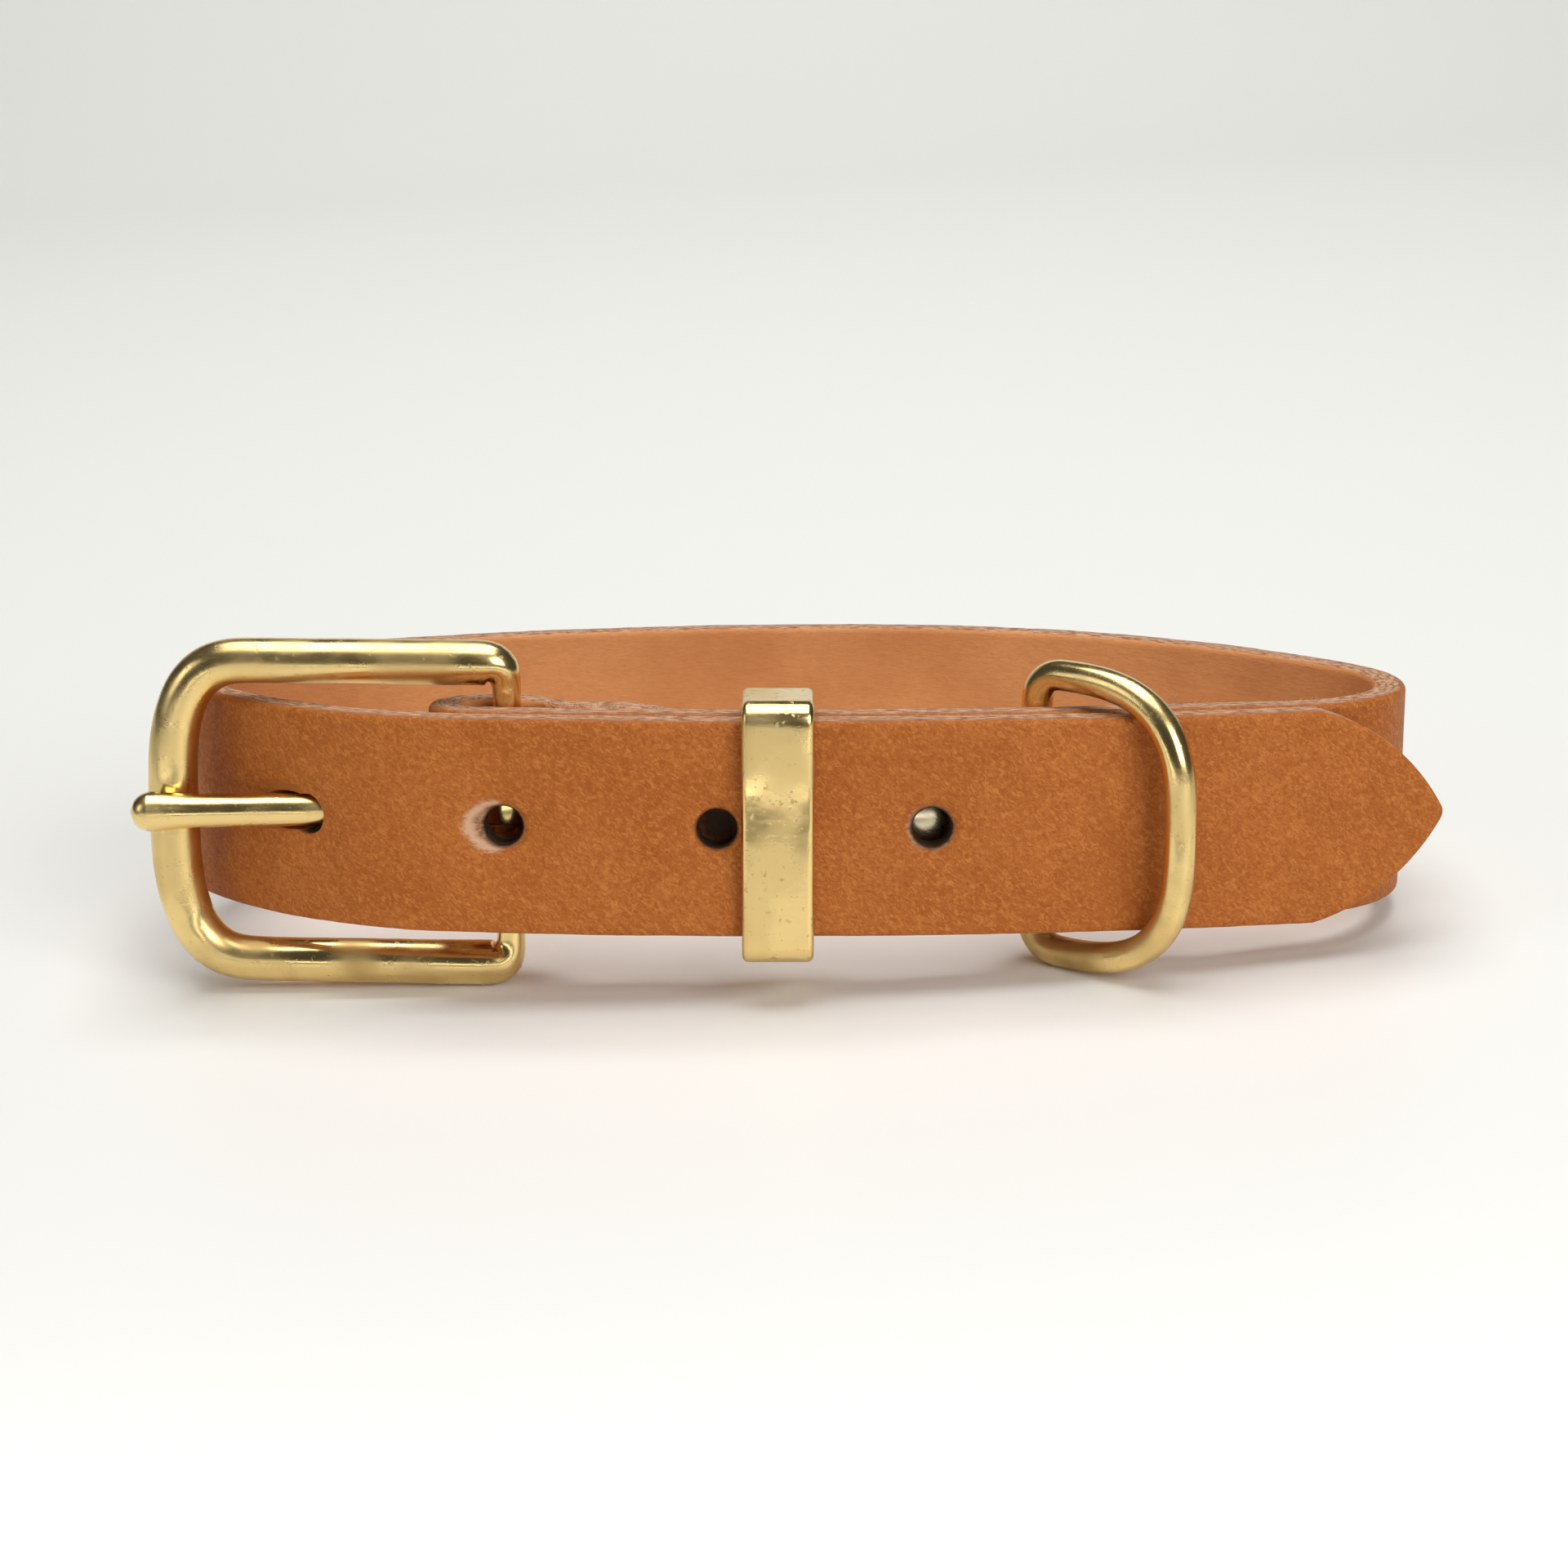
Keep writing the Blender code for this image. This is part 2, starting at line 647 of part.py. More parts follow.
def make_rivet(name, distance, material):
    """Domed rivet: its front head is sunk in the strap, its back head closes on the turned-back end."""
    grip = STRAP_THICKNESS + leg_room(distance) + leg_thickness(distance) + CLEARANCE
    head, shank = RIVET_HEAD / 2, RIVET_SHANK / 2
    seat = RIVET_DOME + RIVET_RIM - CLEARANCE
    profile = [(0.0, 0.0)]
    dome_steps = 3
    for k in range(1, dome_steps + 1):
        angle = math.pi / 2 * k / dome_steps
        profile.append((head * math.sin(angle), RIVET_DOME * (1 - math.cos(angle))))
    profile.append((head, seat))
    profile.append((shank, seat))
    profile.append((shank, grip))
    profile.append((head, grip))
    profile.append((head, grip + RIVET_RIM))
    for k in range(1, dome_steps):
        angle = math.pi / 2 * k / dome_steps
        profile.append((head * math.cos(angle), grip + RIVET_RIM + RIVET_DOME * math.sin(angle)))
    profile.append((0.0, grip + RIVET_RIM + RIVET_DOME))
    rivet = add_object(name, mesh_from(turned(profile, 16), name), material)
    place, heading = leg_point(distance, 0.0)
    rivet.location = (place.x, place.y, 0.0)
    rivet.rotation_euler.z = -heading
    return rivet


def world_mesh(obj):
    """Triangulated bmesh of an object as it stands."""
    graph = bpy.context.evaluated_depsgraph_get()
    evaluated = obj.evaluated_get(graph)
    bm = bmesh.new()
    bm.from_mesh(evaluated.to_mesh())
    evaluated.to_mesh_clear()
    bmesh.ops.transform(bm, matrix=obj.matrix_world, verts=bm.verts)
    bmesh.ops.triangulate(bm, faces=bm.faces)
    return bm


def settle(root, pieces):
    """Stand the collar as it rests by itself: on the supporting plane that lies highest under its weight."""
    bpy.context.view_layer.update()
    cloud = bmesh.new()
    mass = 0.0
    moment = Vector((0.0, 0.0, 0.0))
    for piece in pieces:
        bm = world_mesh(piece)
        density = LEATHER_DENSITY if piece.name == "strap" else BRASS_DENSITY
        for face in bm.faces:
            a, b, c = (v.co for v in face.verts)
            share = density * a.dot(b.cross(c)) / 6
            mass += share
            moment += share * (a + b + c) / 4
        for vert in bm.verts:
            cloud.verts.new(vert.co)
        bm.free()
    centre = moment / mass
    bmesh.ops.convex_hull(cloud, input=cloud.verts)
    cloud.normal_update()
    under = [f for f in cloud.faces if f.normal.z < -0.9]
    floor = min(under, key=lambda f: f.normal.dot(f.verts[0].co - centre))
    upright = floor.normal.rotation_difference(Vector((0.0, 0.0, -1.0))).to_matrix().to_4x4()
    points = [upright @ v.co for v in cloud.verts]
    cloud.free()
    low = [min(p[k] for p in points) for k in range(3)]
    high = [max(p[k] for p in points) for k in range(3)]
    shift = Vector((-(low[0] + high[0]) / 2, -(low[1] + high[1]) / 2, -low[2]))
    root.matrix_world = Matrix.Translation(shift) @ upright
    bpy.context.view_layer.update()


def main():
    for obj in list(bpy.data.objects):
        bpy.data.objects.remove(obj)
    leather = make_material("strap_leather", (0.48, 0.19, 0.075), 0.55, 0.0)
    brasses = {
        name: make_material(f"{name}_brass", (0.72, 0.58, 0.30), 0.25, 1.0)
        for name in ("buckle", "tongue", "keeper", "ring", "rivet")
    }
    strap = make_strap(leather)
    open_tongue_hole(strap)
    pieces = [
        strap,
        make_buckle_frame(brasses["buckle"]),
        make_tongue(brasses["tongue"]),
        make_keeper(brasses["keeper"]),
        make_d_ring(brasses["ring"]),
    ]
    pieces += [make_rivet(name, distance, brasses["rivet"]) for name, distance in RIVETS]
    for piece in pieces[1:]:
        piece.data.shade_smooth()
        piece.data.set_sharp_from_angle(angle=math.radians(40))
    root = bpy.data.objects.new("collar_rest", None)
    bpy.context.scene.collection.objects.link(root)
    for obj in list(bpy.context.scene.collection.objects):
        if obj is not root:
            obj.parent = root
    settle(root, pieces)


main()
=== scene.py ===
"""Leather pet collar with its finishes, on a pale studio floor.

The loop's plan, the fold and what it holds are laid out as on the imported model. Lengths are in
metres. On the flat strap a place is (length from the point, depth under the grain side, height).
"""

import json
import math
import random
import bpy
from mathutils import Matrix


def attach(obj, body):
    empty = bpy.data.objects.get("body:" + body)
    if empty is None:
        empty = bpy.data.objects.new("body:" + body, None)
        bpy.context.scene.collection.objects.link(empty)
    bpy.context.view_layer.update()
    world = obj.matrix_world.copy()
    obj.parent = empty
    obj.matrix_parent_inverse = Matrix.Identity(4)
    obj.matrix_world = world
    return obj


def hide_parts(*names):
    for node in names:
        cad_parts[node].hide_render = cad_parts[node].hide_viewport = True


bl_info = {
    "name": "Leather Pet Collar",
    "version": (1, 0, 0),
    "blender": (4, 5, 0),
    "location": "3D View > Sidebar > Collar",
    "description": "Builds a buckled leather pet collar with brass fittings, and a studio round it",
    "category": "Add Mesh",
}

import bmesh
import bpy
from mathutils import Matrix, Vector, noise

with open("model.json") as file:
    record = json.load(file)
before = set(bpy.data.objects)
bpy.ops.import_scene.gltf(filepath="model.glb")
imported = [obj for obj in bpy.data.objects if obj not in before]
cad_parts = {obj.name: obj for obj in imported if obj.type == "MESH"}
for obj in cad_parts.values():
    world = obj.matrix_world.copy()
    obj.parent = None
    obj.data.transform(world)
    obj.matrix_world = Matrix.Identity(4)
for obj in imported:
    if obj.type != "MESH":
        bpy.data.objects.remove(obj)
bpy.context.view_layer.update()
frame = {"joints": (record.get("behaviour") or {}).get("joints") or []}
SWING = frame["joints"][0]

# Leather strap
STRAP_WIDTH = 0.0200
STRAP_THICKNESS = 0.0030
POINT_LENGTH = 0.0126
LAYER_GAP = 0.0003
LOOP_WIDTH = 0.1200
UNDERLAP = 0.0122

# Punched holes, counted from the pointed end
POINT_TO_HOLE = 0.0484
HOLE_PITCH = 0.0195
TONGUE_HOLE = 3
HOLE_DIAMETER = 0.0036
MOUTH_DEPTH = 0.0005
HOLE_MOUTHS = (
    # width of the pressed-in mouth, its stretch away from the point, how torn it is: shares
    (1.50, 0.10, 0.35),
    (1.20, 0.00, 0.05),
    (1.40, 0.40, 0.90),
    (1.10, 0.00, 0.10),
    (1.20, 0.00, 0.10),
)

# Turned-back end of the strap, measured to the right from the heel bar
TURNED_THICKNESS = 0.0012
TURNED_WIDTH = 0.0170
TURNED_MARGIN = 0.0020
FOLD_SLACK = 0.0027
FLANK = 0.0045
SLOT_CLEARANCE = 0.0005

# Buckle
HEEL_TO_HOLE = 0.0187
HEEL_HEADING = math.radians(5.4)
HEEL_BAR = 0.0026
FRAME_BAR = 0.0042
FRAME_LEFT_BAR = 0.0046
FRAME_REACH = 0.0316
FRAME_HEIGHT = 0.0328
FRAME_BOW = 0.0080
FRAME_SQUARENESS = 2.9
FRAME_HEEL_CORNER = 0.0016
FRAME_TURN = math.radians(3.5)
FRAME_DROP = 0.0006

# Tongue
TONGUE_DIAMETER = 0.0031
TONGUE_HEAD = 0.0037
TONGUE_OVERHANG = 0.0011
TONGUE_EYE_WALL = 0.0015
TONGUE_RISE = 0.0002

# Keeper
KEEPER_AT = 0.0255
KEEPER_WIDTH = 0.0065
KEEPER_WALL = 0.0013
KEEPER_HEADROOM = 0.0008
KEEPER_DROP = 0.0002
KEEPER_CORNER = 0.0019
KEEPER_RIM = 0.0006

# D-ring
RING_AT = 0.0499
RING_WIRE = 0.0029
RING_HEIGHT = 0.0290
RING_DEPTH = 0.0176
RING_CORNER = 0.0026
RING_SQUARENESS = 3.0
RING_SWING = math.radians(41.0)
RING_DROP = 0.0002

# Rivets
RIVET_HEAD = 0.0052
RIVET_DOME = 0.0009
RIVET_RIM = 0.0003
RIVET_SHANK = 0.0024

CLEARANCE = 0.0003

# The loop's plan, run by run from the pointed end
LOOP_RUNS = (
    # run, radius as a share of the loop's width, heading at its end in degrees
    ("front", 2.225, None),
    ("left shoulder", 0.320, 55.3),
    ("left end", 0.131, 153.4),
    ("back left", None, 181.1),
    ("back right", None, 234.5),
    ("right end", 0.1125, None),
)

# Creases that the free end took when it was buckled elsewhere
CREASES = (
    # length and height at the start, the same at the end, width, depth
    (0.0450, 0.0058, 0.0580, 0.0066, 0.00060, 0.00010),
    (0.0490, 0.0040, 0.0545, 0.0048, 0.00050, 0.00007),
    (0.0445, 0.0080, 0.0520, 0.0085, 0.00060, 0.00006),
    (0.0300, -0.0100, 0.0335, 0.0040, 0.00110, 0.00010),
    (0.0860, 0.0060, 0.0900, 0.0100, 0.00070, 0.00007),
)

# Loose fibres along the upper edges
FIBRE_TUFTS = (
    # leg, first and last distance from the heel bar, depth share, count, length, curl
    ("turned", 0.0035, 0.0080, 1.0, 26, 0.0011, 1.0),
    ("turned", 0.0085, 0.0150, 0.9, 34, 0.0009, 0.8),
    ("under", 0.0050, 0.0200, 1.0, 40, 0.0006, 0.7),
    ("turned", 0.0300, 0.0450, 0.8, 40, 0.0007, 0.8),
    ("turned", 0.0520, 0.0570, 0.6, 20, 0.0008, 0.8),
    ("turned", 0.0590, 0.0630, 0.5, 26, 0.0017, 1.8),
    ("under", 0.0600, 0.0660, 1.0, 30, 0.0016, 1.8),
    ("free", 0.0040, 0.0900, 0.9, 130, 0.0003, 0.5),
    ("under", 0.0660, 0.0850, 1.0, 40, 0.0005, 0.6),
)

PITCH = STRAP_THICKNESS + LAYER_GAP
FRONT_RADIUS = LOOP_RUNS[0][1] * LOOP_WIDTH
UNDER_RADIUS = FRONT_RADIUS - PITCH
HEEL_FOLD = HEEL_BAR / 2 + CLEARANCE
TONGUE_HOLE_AT = POINT_TO_HOLE + TONGUE_HOLE * HOLE_PITCH
HEEL_AT = TONGUE_HOLE_AT - HEEL_TO_HOLE


def inward(heading):
    """Unit plan vector from the strap's outer face towards the inside of the loop."""
    return Vector((math.sin(heading), math.cos(heading)))


class Arc:
    """A run of the strap's outer face: an arc of one radius between two headings."""

    def __init__(self, start, first, last, radius):
        self.centre = start + radius * inward(first)
        self.first = first
        self.last = last
        self.radius = radius
        self.length = (last - first) * radius

    def at(self, distance):
        heading = self.first + distance / self.radius
        return self.centre - self.radius * inward(heading), heading

    def end(self):
        return self.centre - self.radius * inward(self.last)


def chord(first, last):
    """Plan vector from end to end of an arc of radius 1."""
    return inward(first) - inward(last)


def strap_arcs():
    """The outer face from the point to the end of the fold. The back's two radii close the loop."""
    point_heading = HEEL_HEADING - HEEL_AT / FRONT_RADIUS
    front_end = HEEL_HEADING + FOLD_SLACK / FRONT_RADIUS
    under_start = point_heading + UNDERLAP / FRONT_RADIUS
    headings = [point_heading, front_end]
    headings += [math.radians(run[2]) for run in LOOP_RUNS[1:-1]]
    headings.append(under_start + 2 * math.pi)
    radii = [None if run[1] is None else run[1] * LOOP_WIDTH for run in LOOP_RUNS]
    chords = [chord(a, b) for a, b in zip(headings, headings[1:])]
    laid = sum((r * c for r, c in zip(radii, chords) if r is not None), Vector((0, 0)))
    under_point = FRONT_RADIUS * chord(point_heading, under_start) + PITCH * inward(under_start)
    missing = under_point - laid
    left, right = (c for r, c in zip(radii, chords) if r is None)
    scale = left.x * right.y - left.y * right.x
    solved = [
        (missing.x * right.y - missing.y * right.x) / scale,
        (left.x * missing.y - left.y * missing.x) / scale,
    ]
    start = -FRONT_RADIUS * chord(point_heading, 0.0)
    arcs = []
    for first, last, radius in zip(headings, headings[1:], radii):
        arcs.append(Arc(start, first, last, radius or solved.pop(0)))
        start = arcs[-1].end()
    arcs.append(Arc(start, under_start, front_end, UNDER_RADIUS))
    fold = Arc(arcs[-1].end(), front_end, front_end + math.pi, STRAP_THICKNESS + HEEL_FOLD)
    return arcs + [fold]


# What the turned-back end passes over, measured from the heel bar
HELD = (
    # centre, half its width, room between the two legs
    (0.0, HEEL_FOLD, 2 * HEEL_FOLD),
    (KEEPER_AT, KEEPER_WIDTH / 2 + CLEARANCE, KEEPER_WALL + 2 * CLEARANCE),
    (RING_AT, RING_WIRE / 2, RING_WIRE + 2 * CLEARANCE),
)


def flat_from(held):
    """Distance at which the two legs lie together again past a held piece."""
    return held[0] + held[1] + FLANK


def flat_until(held):
    """Distance at which the two legs part before a held piece."""
    return held[0] - held[1] - FLANK


RIVETS = (
    # name, distance from the heel bar
    ("rivet_heel", (flat_from(HELD[0]) + flat_until(HELD[1])) / 2),
    ("rivet_middle", (flat_from(HELD[1]) + flat_until(HELD[2])) / 2),
    ("rivet_end", flat_from(HELD[2]) + RIVET_HEAD / 2 + CLEARANCE),
)
TURNED_LENGTH = RIVETS[-1][1] + RIVET_HEAD / 2 + TURNED_MARGIN

ARCS = strap_arcs()
FOLD_END = sum(arc.length for arc in ARCS)
UNDER_HEEL = FOLD_END - ARCS[-1].length - FOLD_SLACK
BLANK_LENGTH = FOLD_END + FOLD_SLACK + TURNED_LENGTH


def ease(share):
    """Smooth step from 0 to 1."""
    share = min(max(share, 0.0), 1.0)
    return share * share * (3 - 2 * share)


def leg_room(distance):
    """Room between the two legs of the fold at this distance from the heel bar."""
    room = LAYER_GAP
    distance = max(distance, HELD[0][0])
    for centre, half, wanted in HELD:
        beside = abs(distance - centre) - half
        room = max(room, LAYER_GAP + (wanted - LAYER_GAP) * (1 - ease(beside / FLANK)))
    return room


def skive(distance):
    """Share of the thinning of the turned-back end: 0 at the first rivet, 1 at the keeper."""
    first = RIVETS[0][1] + RIVET_HEAD / 2
    return ease((distance - first) / (KEEPER_AT - KEEPER_WIDTH / 2 - first))


def leg_thickness(distance):
    return STRAP_THICKNESS + (TURNED_THICKNESS - STRAP_THICKNESS) * skive(distance)


def leg_point(distance, depth):
    """Plan point in the fold, at a depth from the outer face of the strap under the free end."""
    heading = HEEL_HEADING - distance / UNDER_RADIUS
    return ARCS[-2].centre - (UNDER_RADIUS - depth) * inward(heading), heading


def bent(flat, depth):
    """Plan point of the finished strap for a place on the flat blank."""
    if flat <= FOLD_END:
        for arc in ARCS:
            if flat <= arc.length or arc is ARCS[-1]:
                break
            flat -= arc.length
        point, heading = arc.at(flat)
        return point + depth * inward(heading)
    distance = flat - FOLD_END - FOLD_SLACK
    flesh = 1 - depth / STRAP_THICKNESS
    far = STRAP_THICKNESS + leg_room(distance) + leg_thickness(distance) * flesh
    return leg_point(distance, far)[0]


def band_place():
    """The loop's own frame, upright on its edges, as it stands on the floor."""
    up = -Vector(SWING["axis"]).normalized()
    turn = Vector((0, 0, 1)).rotation_difference(up).to_matrix().to_4x4()
    bar = leg_point(RING_AT, STRAP_THICKNESS + CLEARANCE + RING_WIRE / 2)[0]
    pivot = turn @ Vector((bar.x, bar.y, -RING_DROP))
    return Matrix.Translation(Vector(SWING["pos_m"]) - pivot) @ turn


BAND = band_place()


def length_setting(name, description, default, **limits):
    return bpy.props.FloatProperty(
        name=name, description=description, default=default, unit="LENGTH", precision=5, **limits
    )


def colour_setting(name, description, default):
    return bpy.props.FloatVectorProperty(
        name=name, description=description, default=default, subtype="COLOR", size=3, min=0, max=1
    )


def share_setting(name, description, default):
    return bpy.props.FloatProperty(
        name=name, description=description, default=default, subtype="FACTOR", min=0, max=1
    )


class LeatherSettings(bpy.types.PropertyGroup):
    rounding: length_setting("Edge Rounding", "Radius of the strap's slicked edges", 0.0006)
    spacing: length_setting("Mesh Spacing", "Distance between the strap's cuts", 0.0007)
    waviness: length_setting("Waviness", "Height of the hide's soft swells", 0.00006)
    pebble: length_setting("Pebble Size", "Size of the grain's pebbles", 0.00034)
    grain: colour_setting("Grain", "Colour of the grain side", (0.430, 0.128, 0.024))
    grain_dark: colour_setting("Dark Grain", "Colour between the grain's pebbles", (0.310, 0.074, 0.007))
    grain_pale: colour_setting("Pale Grain", "Colour of the grain's pebbles", (0.590, 0.215, 0.050))
    flesh: colour_setting("Flesh", "Colour of the inner side", (0.740, 0.320, 0.120))
    flesh_dark: colour_setting("Dark Flesh", "Colour of the inner side's stains", (0.560, 0.205, 0.068))
    edge: colour_setting("Edge", "Colour of the cut edges", (0.640, 0.385, 0.240))
    edge_dark: colour_setting("Dark Edge", "Colour of the burnished edges", (0.290, 0.120, 0.055))
    fuzz: share_setting("Fuzz", "Share of the loose fibres that are kept", 1.0)


class BrassSettings(bpy.types.PropertyGroup):
    colour: colour_setting("Brass", "Colour of the polished brass", (0.850, 0.630, 0.270))
    tarnish: colour_setting("Tarnish", "Colour of the tarnished brass", (0.440, 0.290, 0.100))
    rivet: colour_setting("Rivet Brass", "Colour of the pale rivets", (0.700, 0.600, 0.410))
    unevenness: length_setting("Unevenness", "Height of the casting's soft swells", 0.00005)
    polish: share_setting("Roughness", "Roughness of the polished brass", 0.17)


class StudioSettings(bpy.types.PropertyGroup):
    floor: colour_setting("Floor", "Colour of the floor and the backdrop", (0.880, 0.878, 0.840))
    lens: bpy.props.FloatProperty(
        name="Lens", description="Focal length on a 36 mm sensor", default=67.5, subtype="DISTANCE_CAMERA"
    )
    pitch: bpy.props.FloatProperty(
        name="Pitch", description="How far the camera looks down on the loop",
        default=math.radians(12.4), subtype="ANGLE"
    )


def finished(bm, name, material, place, smooth_under=40):
    """Object at the origin from a mesh in the loop's frame, turned to where it stands."""
    bmesh.ops.recalc_face_normals(bm, faces=bm.faces)
    mesh = bpy.data.meshes.new(name)
    bm.to_mesh(mesh)
    bm.free()
    mesh.transform(place)
    mesh.materials.append(material)
    mesh.shade_smooth()
    mesh.set_sharp_from_angle(angle=math.radians(smooth_under))
    obj = bpy.data.objects.new(name, mesh)
    bpy.context.scene.collection.objects.link(obj)
    return obj


def as_piece(obj, node, body):
    """Let a finished piece stand for a node of the model."""
    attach(obj, body)
    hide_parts(node)


def scratch_object(bm, name):
    bmesh.ops.recalc_face_normals(bm, faces=bm.faces)
    mesh = bpy.data.meshes.new(name)
    bm.to_mesh(mesh)
    bm.free()
    obj = bpy.data.objects.new(name, mesh)
    bpy.context.scene.collection.objects.link(obj)
    return obj


def combined(base, *steps):
    """Mesh of a base object after boolean steps of (operation, tool). All the objects are removed."""
    for operation, tool in steps:
        modifier = base.modifiers.new(operation, "BOOLEAN")
        modifier.operation = operation
        modifier.solver = "EXACT"
        modifier.object = tool
    graph = bpy.context.evaluated_depsgraph_get()
    graph.update()
    bm = bmesh.new()
    evaluated = base.evaluated_get(graph)
    bm.from_mesh(evaluated.to_mesh())
    evaluated.to_mesh_clear()
    for obj in [base] + [tool for _, tool in steps]:
        bpy.data.objects.remove(obj)
    return bm


def gathered(parts):
    """One bmesh of several, each of which is freed."""
    whole = bmesh.new()
    for part in parts:
        mesh = bpy.data.meshes.new("gathered")
        part.to_mesh(mesh)
        part.free()
        whole.from_mesh(mesh)
        bpy.data.meshes.remove(mesh)
    return whole


# Strap


def blank_outline():
    """Half of the flat blank's outline: (length, half width) from the point to the turned end."""
    half = STRAP_WIDTH / 2
    chord_length = math.hypot(POINT_LENGTH, half)
    spread = math.asin(min(1.0, chord_length / (2 * STRAP_WIDTH)))
    slope = math.atan2(half, POINT_LENGTH)
    outline = []
    steps = 20
    for k in range(steps + 1):
        turn = spread * (2 * k / steps - 1)
        along = chord_length / 2 + STRAP_WIDTH * math.sin(turn)
        rise = STRAP_WIDTH * (math.cos(turn) - math.cos(spread))
        outline.append((
            along * math.cos(slope) - rise * math.sin(slope),
            along * math.sin(slope) + rise * math.cos(slope),
        ))
    outline[0] = (0.0, 0.0)
    heel_flat = FOLD_END + FOLD_SLACK
    narrow = TURNED_WIDTH / 2
    outline.append((heel_flat + RIVETS[0][1], half))
    outline.append((heel_flat + KEEPER_AT - KEEPER_WIDTH / 2, narrow))
    corner = TURNED_THICKNESS
    outline.append((BLANK_LENGTH - corner, narrow))
    outline.append((BLANK_LENGTH, narrow - corner))
    return outline


def slice_across(bm, axis, places):
    """Cut the mesh at places along an axis, each time only what lies ahead of the last cut."""
    normal = Vector((axis == 0, axis == 1, axis == 2))
    faces = bm.faces[:]
    for place in places:
        edges = {edge for face in faces for edge in face.edges}
        verts = {vert for edge in edges for vert in edge.verts}
        cut = bmesh.ops.bisect_plane(
            bm, geom=faces + list(edges) + list(verts), dist=1e-7,
            plane_co=place * normal, plane_no=normal,
        )
        found = [g for g in cut["geom"] if isinstance(g, bmesh.types.BMFace)]
        faces = [face for face in found if face.calc_center_median()[axis] > place]


def spaced(first, last, spacing):
    """Evenly spaced places between two ends, which are left out."""
    count = max(1, round((last - first) / spacing))
    return [first + (last - first) * k / count for k in range(1, count)]


def flat_blank(settings):
    """The strap before it is punched: cut out, edges rounded, sliced so that it can bend."""
    half = blank_outline()
    outline = half + [(length, -height) for length, height in reversed(half[1:])]
    bm = bmesh.new()
    face = bm.faces.new([bm.verts.new((length, 0.0, height)) for length, height in outline])
    point = min(bm.verts, key=lambda vert: vert.co.x)
    bmesh.ops.bevel(
        bm, geom=[point], offset=0.0006, segments=4, profile=0.5, affect="VERTICES", material=-1
    )
    walls = bmesh.ops.extrude_face_region(bm, geom=bm.faces[:])
    moved = [v for v in walls["geom"] if isinstance(v, bmesh.types.BMVert)]
    bmesh.ops.translate(bm, verts=moved, vec=(0.0, STRAP_THICKNESS, 0.0))
    rims = [e for e in bm.edges if abs(e.verts[0].co.y - e.verts[1].co.y) < STRAP_THICKNESS / 2]
    bmesh.ops.bevel(
        bm, geom=rims, offset=settings.rounding, segments=4, profile=0.5, affect="EDGES",
        material=-1,
    )
    slice_across(bm, 1, spaced(settings.rounding, STRAP_THICKNESS - settings.rounding, 0.0006))
    edge = STRAP_WIDTH / 2
    slice_across(bm, 2, spaced(-edge, edge, 1.3 * settings.spacing))
    slice_across(bm, 0, spaced(0.0, BLANK_LENGTH, settings.spacing))
    return bm


def turned(profile, steps):
    """Solid of revolution about Y from (radius, depth) points that start and end on the axis."""
    bm = bmesh.new()
    verts = [bm.verts.new((radius, depth, 0.0)) for radius, depth in profile]
    edges = [bm.edges.new(pair) for pair in zip(verts, verts[1:])]
    bmesh.ops.spin(
        bm, geom=verts + edges, axis=(0.0, 1.0, 0.0), cent=(0.0, 0.0, 0.0),
        angle=2 * math.pi, steps=steps, use_merge=True,
    )
    bmesh.ops.remove_doubles(bm, verts=bm.verts, dist=1e-6)
    return bm


def punch(radius, low, high, flat):
    """Round punch through the blank at a length, from one depth to another."""
    bm = turned([(0.0, low), (radius, low), (radius, high), (0.0, high)], 28)
    bmesh.ops.translate(bm, verts=bm.verts, vec=(flat, 0.0, 0.0))
    return bm


def mouthed_punch(place, mouth, stretch):
    """Round punch whose mouth is pressed in, rounded and pulled away from the point."""
    hole = HOLE_DIAMETER / 2
    profile = [(0.0, -MOUTH_DEPTH)]
    steps = 7
    for k in range(steps + 1):
        share = k / steps
        flare = (1 - share) ** 1.7
        profile.append((hole + 2 * (mouth - hole) * flare, MOUTH_DEPTH * (2.6 * share - 1)))
    profile.append((hole, 2 * STRAP_THICKNESS))
    profile.append((0.0, 2 * STRAP_THICKNESS))
    bm = turned(profile, 40)
    reach = 1.6 * MOUTH_DEPTH
    for vert in bm.verts:
        open_share = 1 - min(max((vert.co.y + MOUTH_DEPTH) / (reach + MOUTH_DEPTH), 0.0), 1.0)
        if vert.co.x > 0:
            vert.co.x += 2 * stretch * open_share * vert.co.x / mouth
        ragged = noise.noise(Vector((60 * vert.co.z / hole, place, 30 * vert.co.x / hole)))
        vert.co.x *= 1 + 0.02 * ragged
    bmesh.ops.translate(bm, verts=bm.verts, vec=(place, 0.0, 0.0))
    return bm


def tongue_slot():
    """Round-ended slot in the fold, where the tongue's eye turns."""
    over = STRAP_THICKNESS
    eye = HEEL_FOLD + TONGUE_EYE_WALL + SLOT_CLEARANCE
    first = UNDER_HEEL - eye
    last = FOLD_END + FOLD_SLACK + eye
    half = TONGUE_DIAMETER / 2 + SLOT_CLEARANCE
    bm = bmesh.new()
    bmesh.ops.create_cube(bm, size=1.0)
    bmesh.ops.scale(bm, verts=bm.verts, vec=(last - first, 4 * over, 2 * half))
    bmesh.ops.translate(bm, verts=bm.verts, vec=((first + last) / 2, over / 2, 0.0))
    ends = [e for e in bm.edges if abs(e.verts[0].co.y - e.verts[1].co.y) > over]
    bmesh.ops.bevel(
        bm, geom=ends, offset=half * 0.9, segments=8, profile=0.5, affect="EDGES", material=-1
    )
    return bm


def hole_place(index):
    return POINT_TO_HOLE + index * HOLE_PITCH


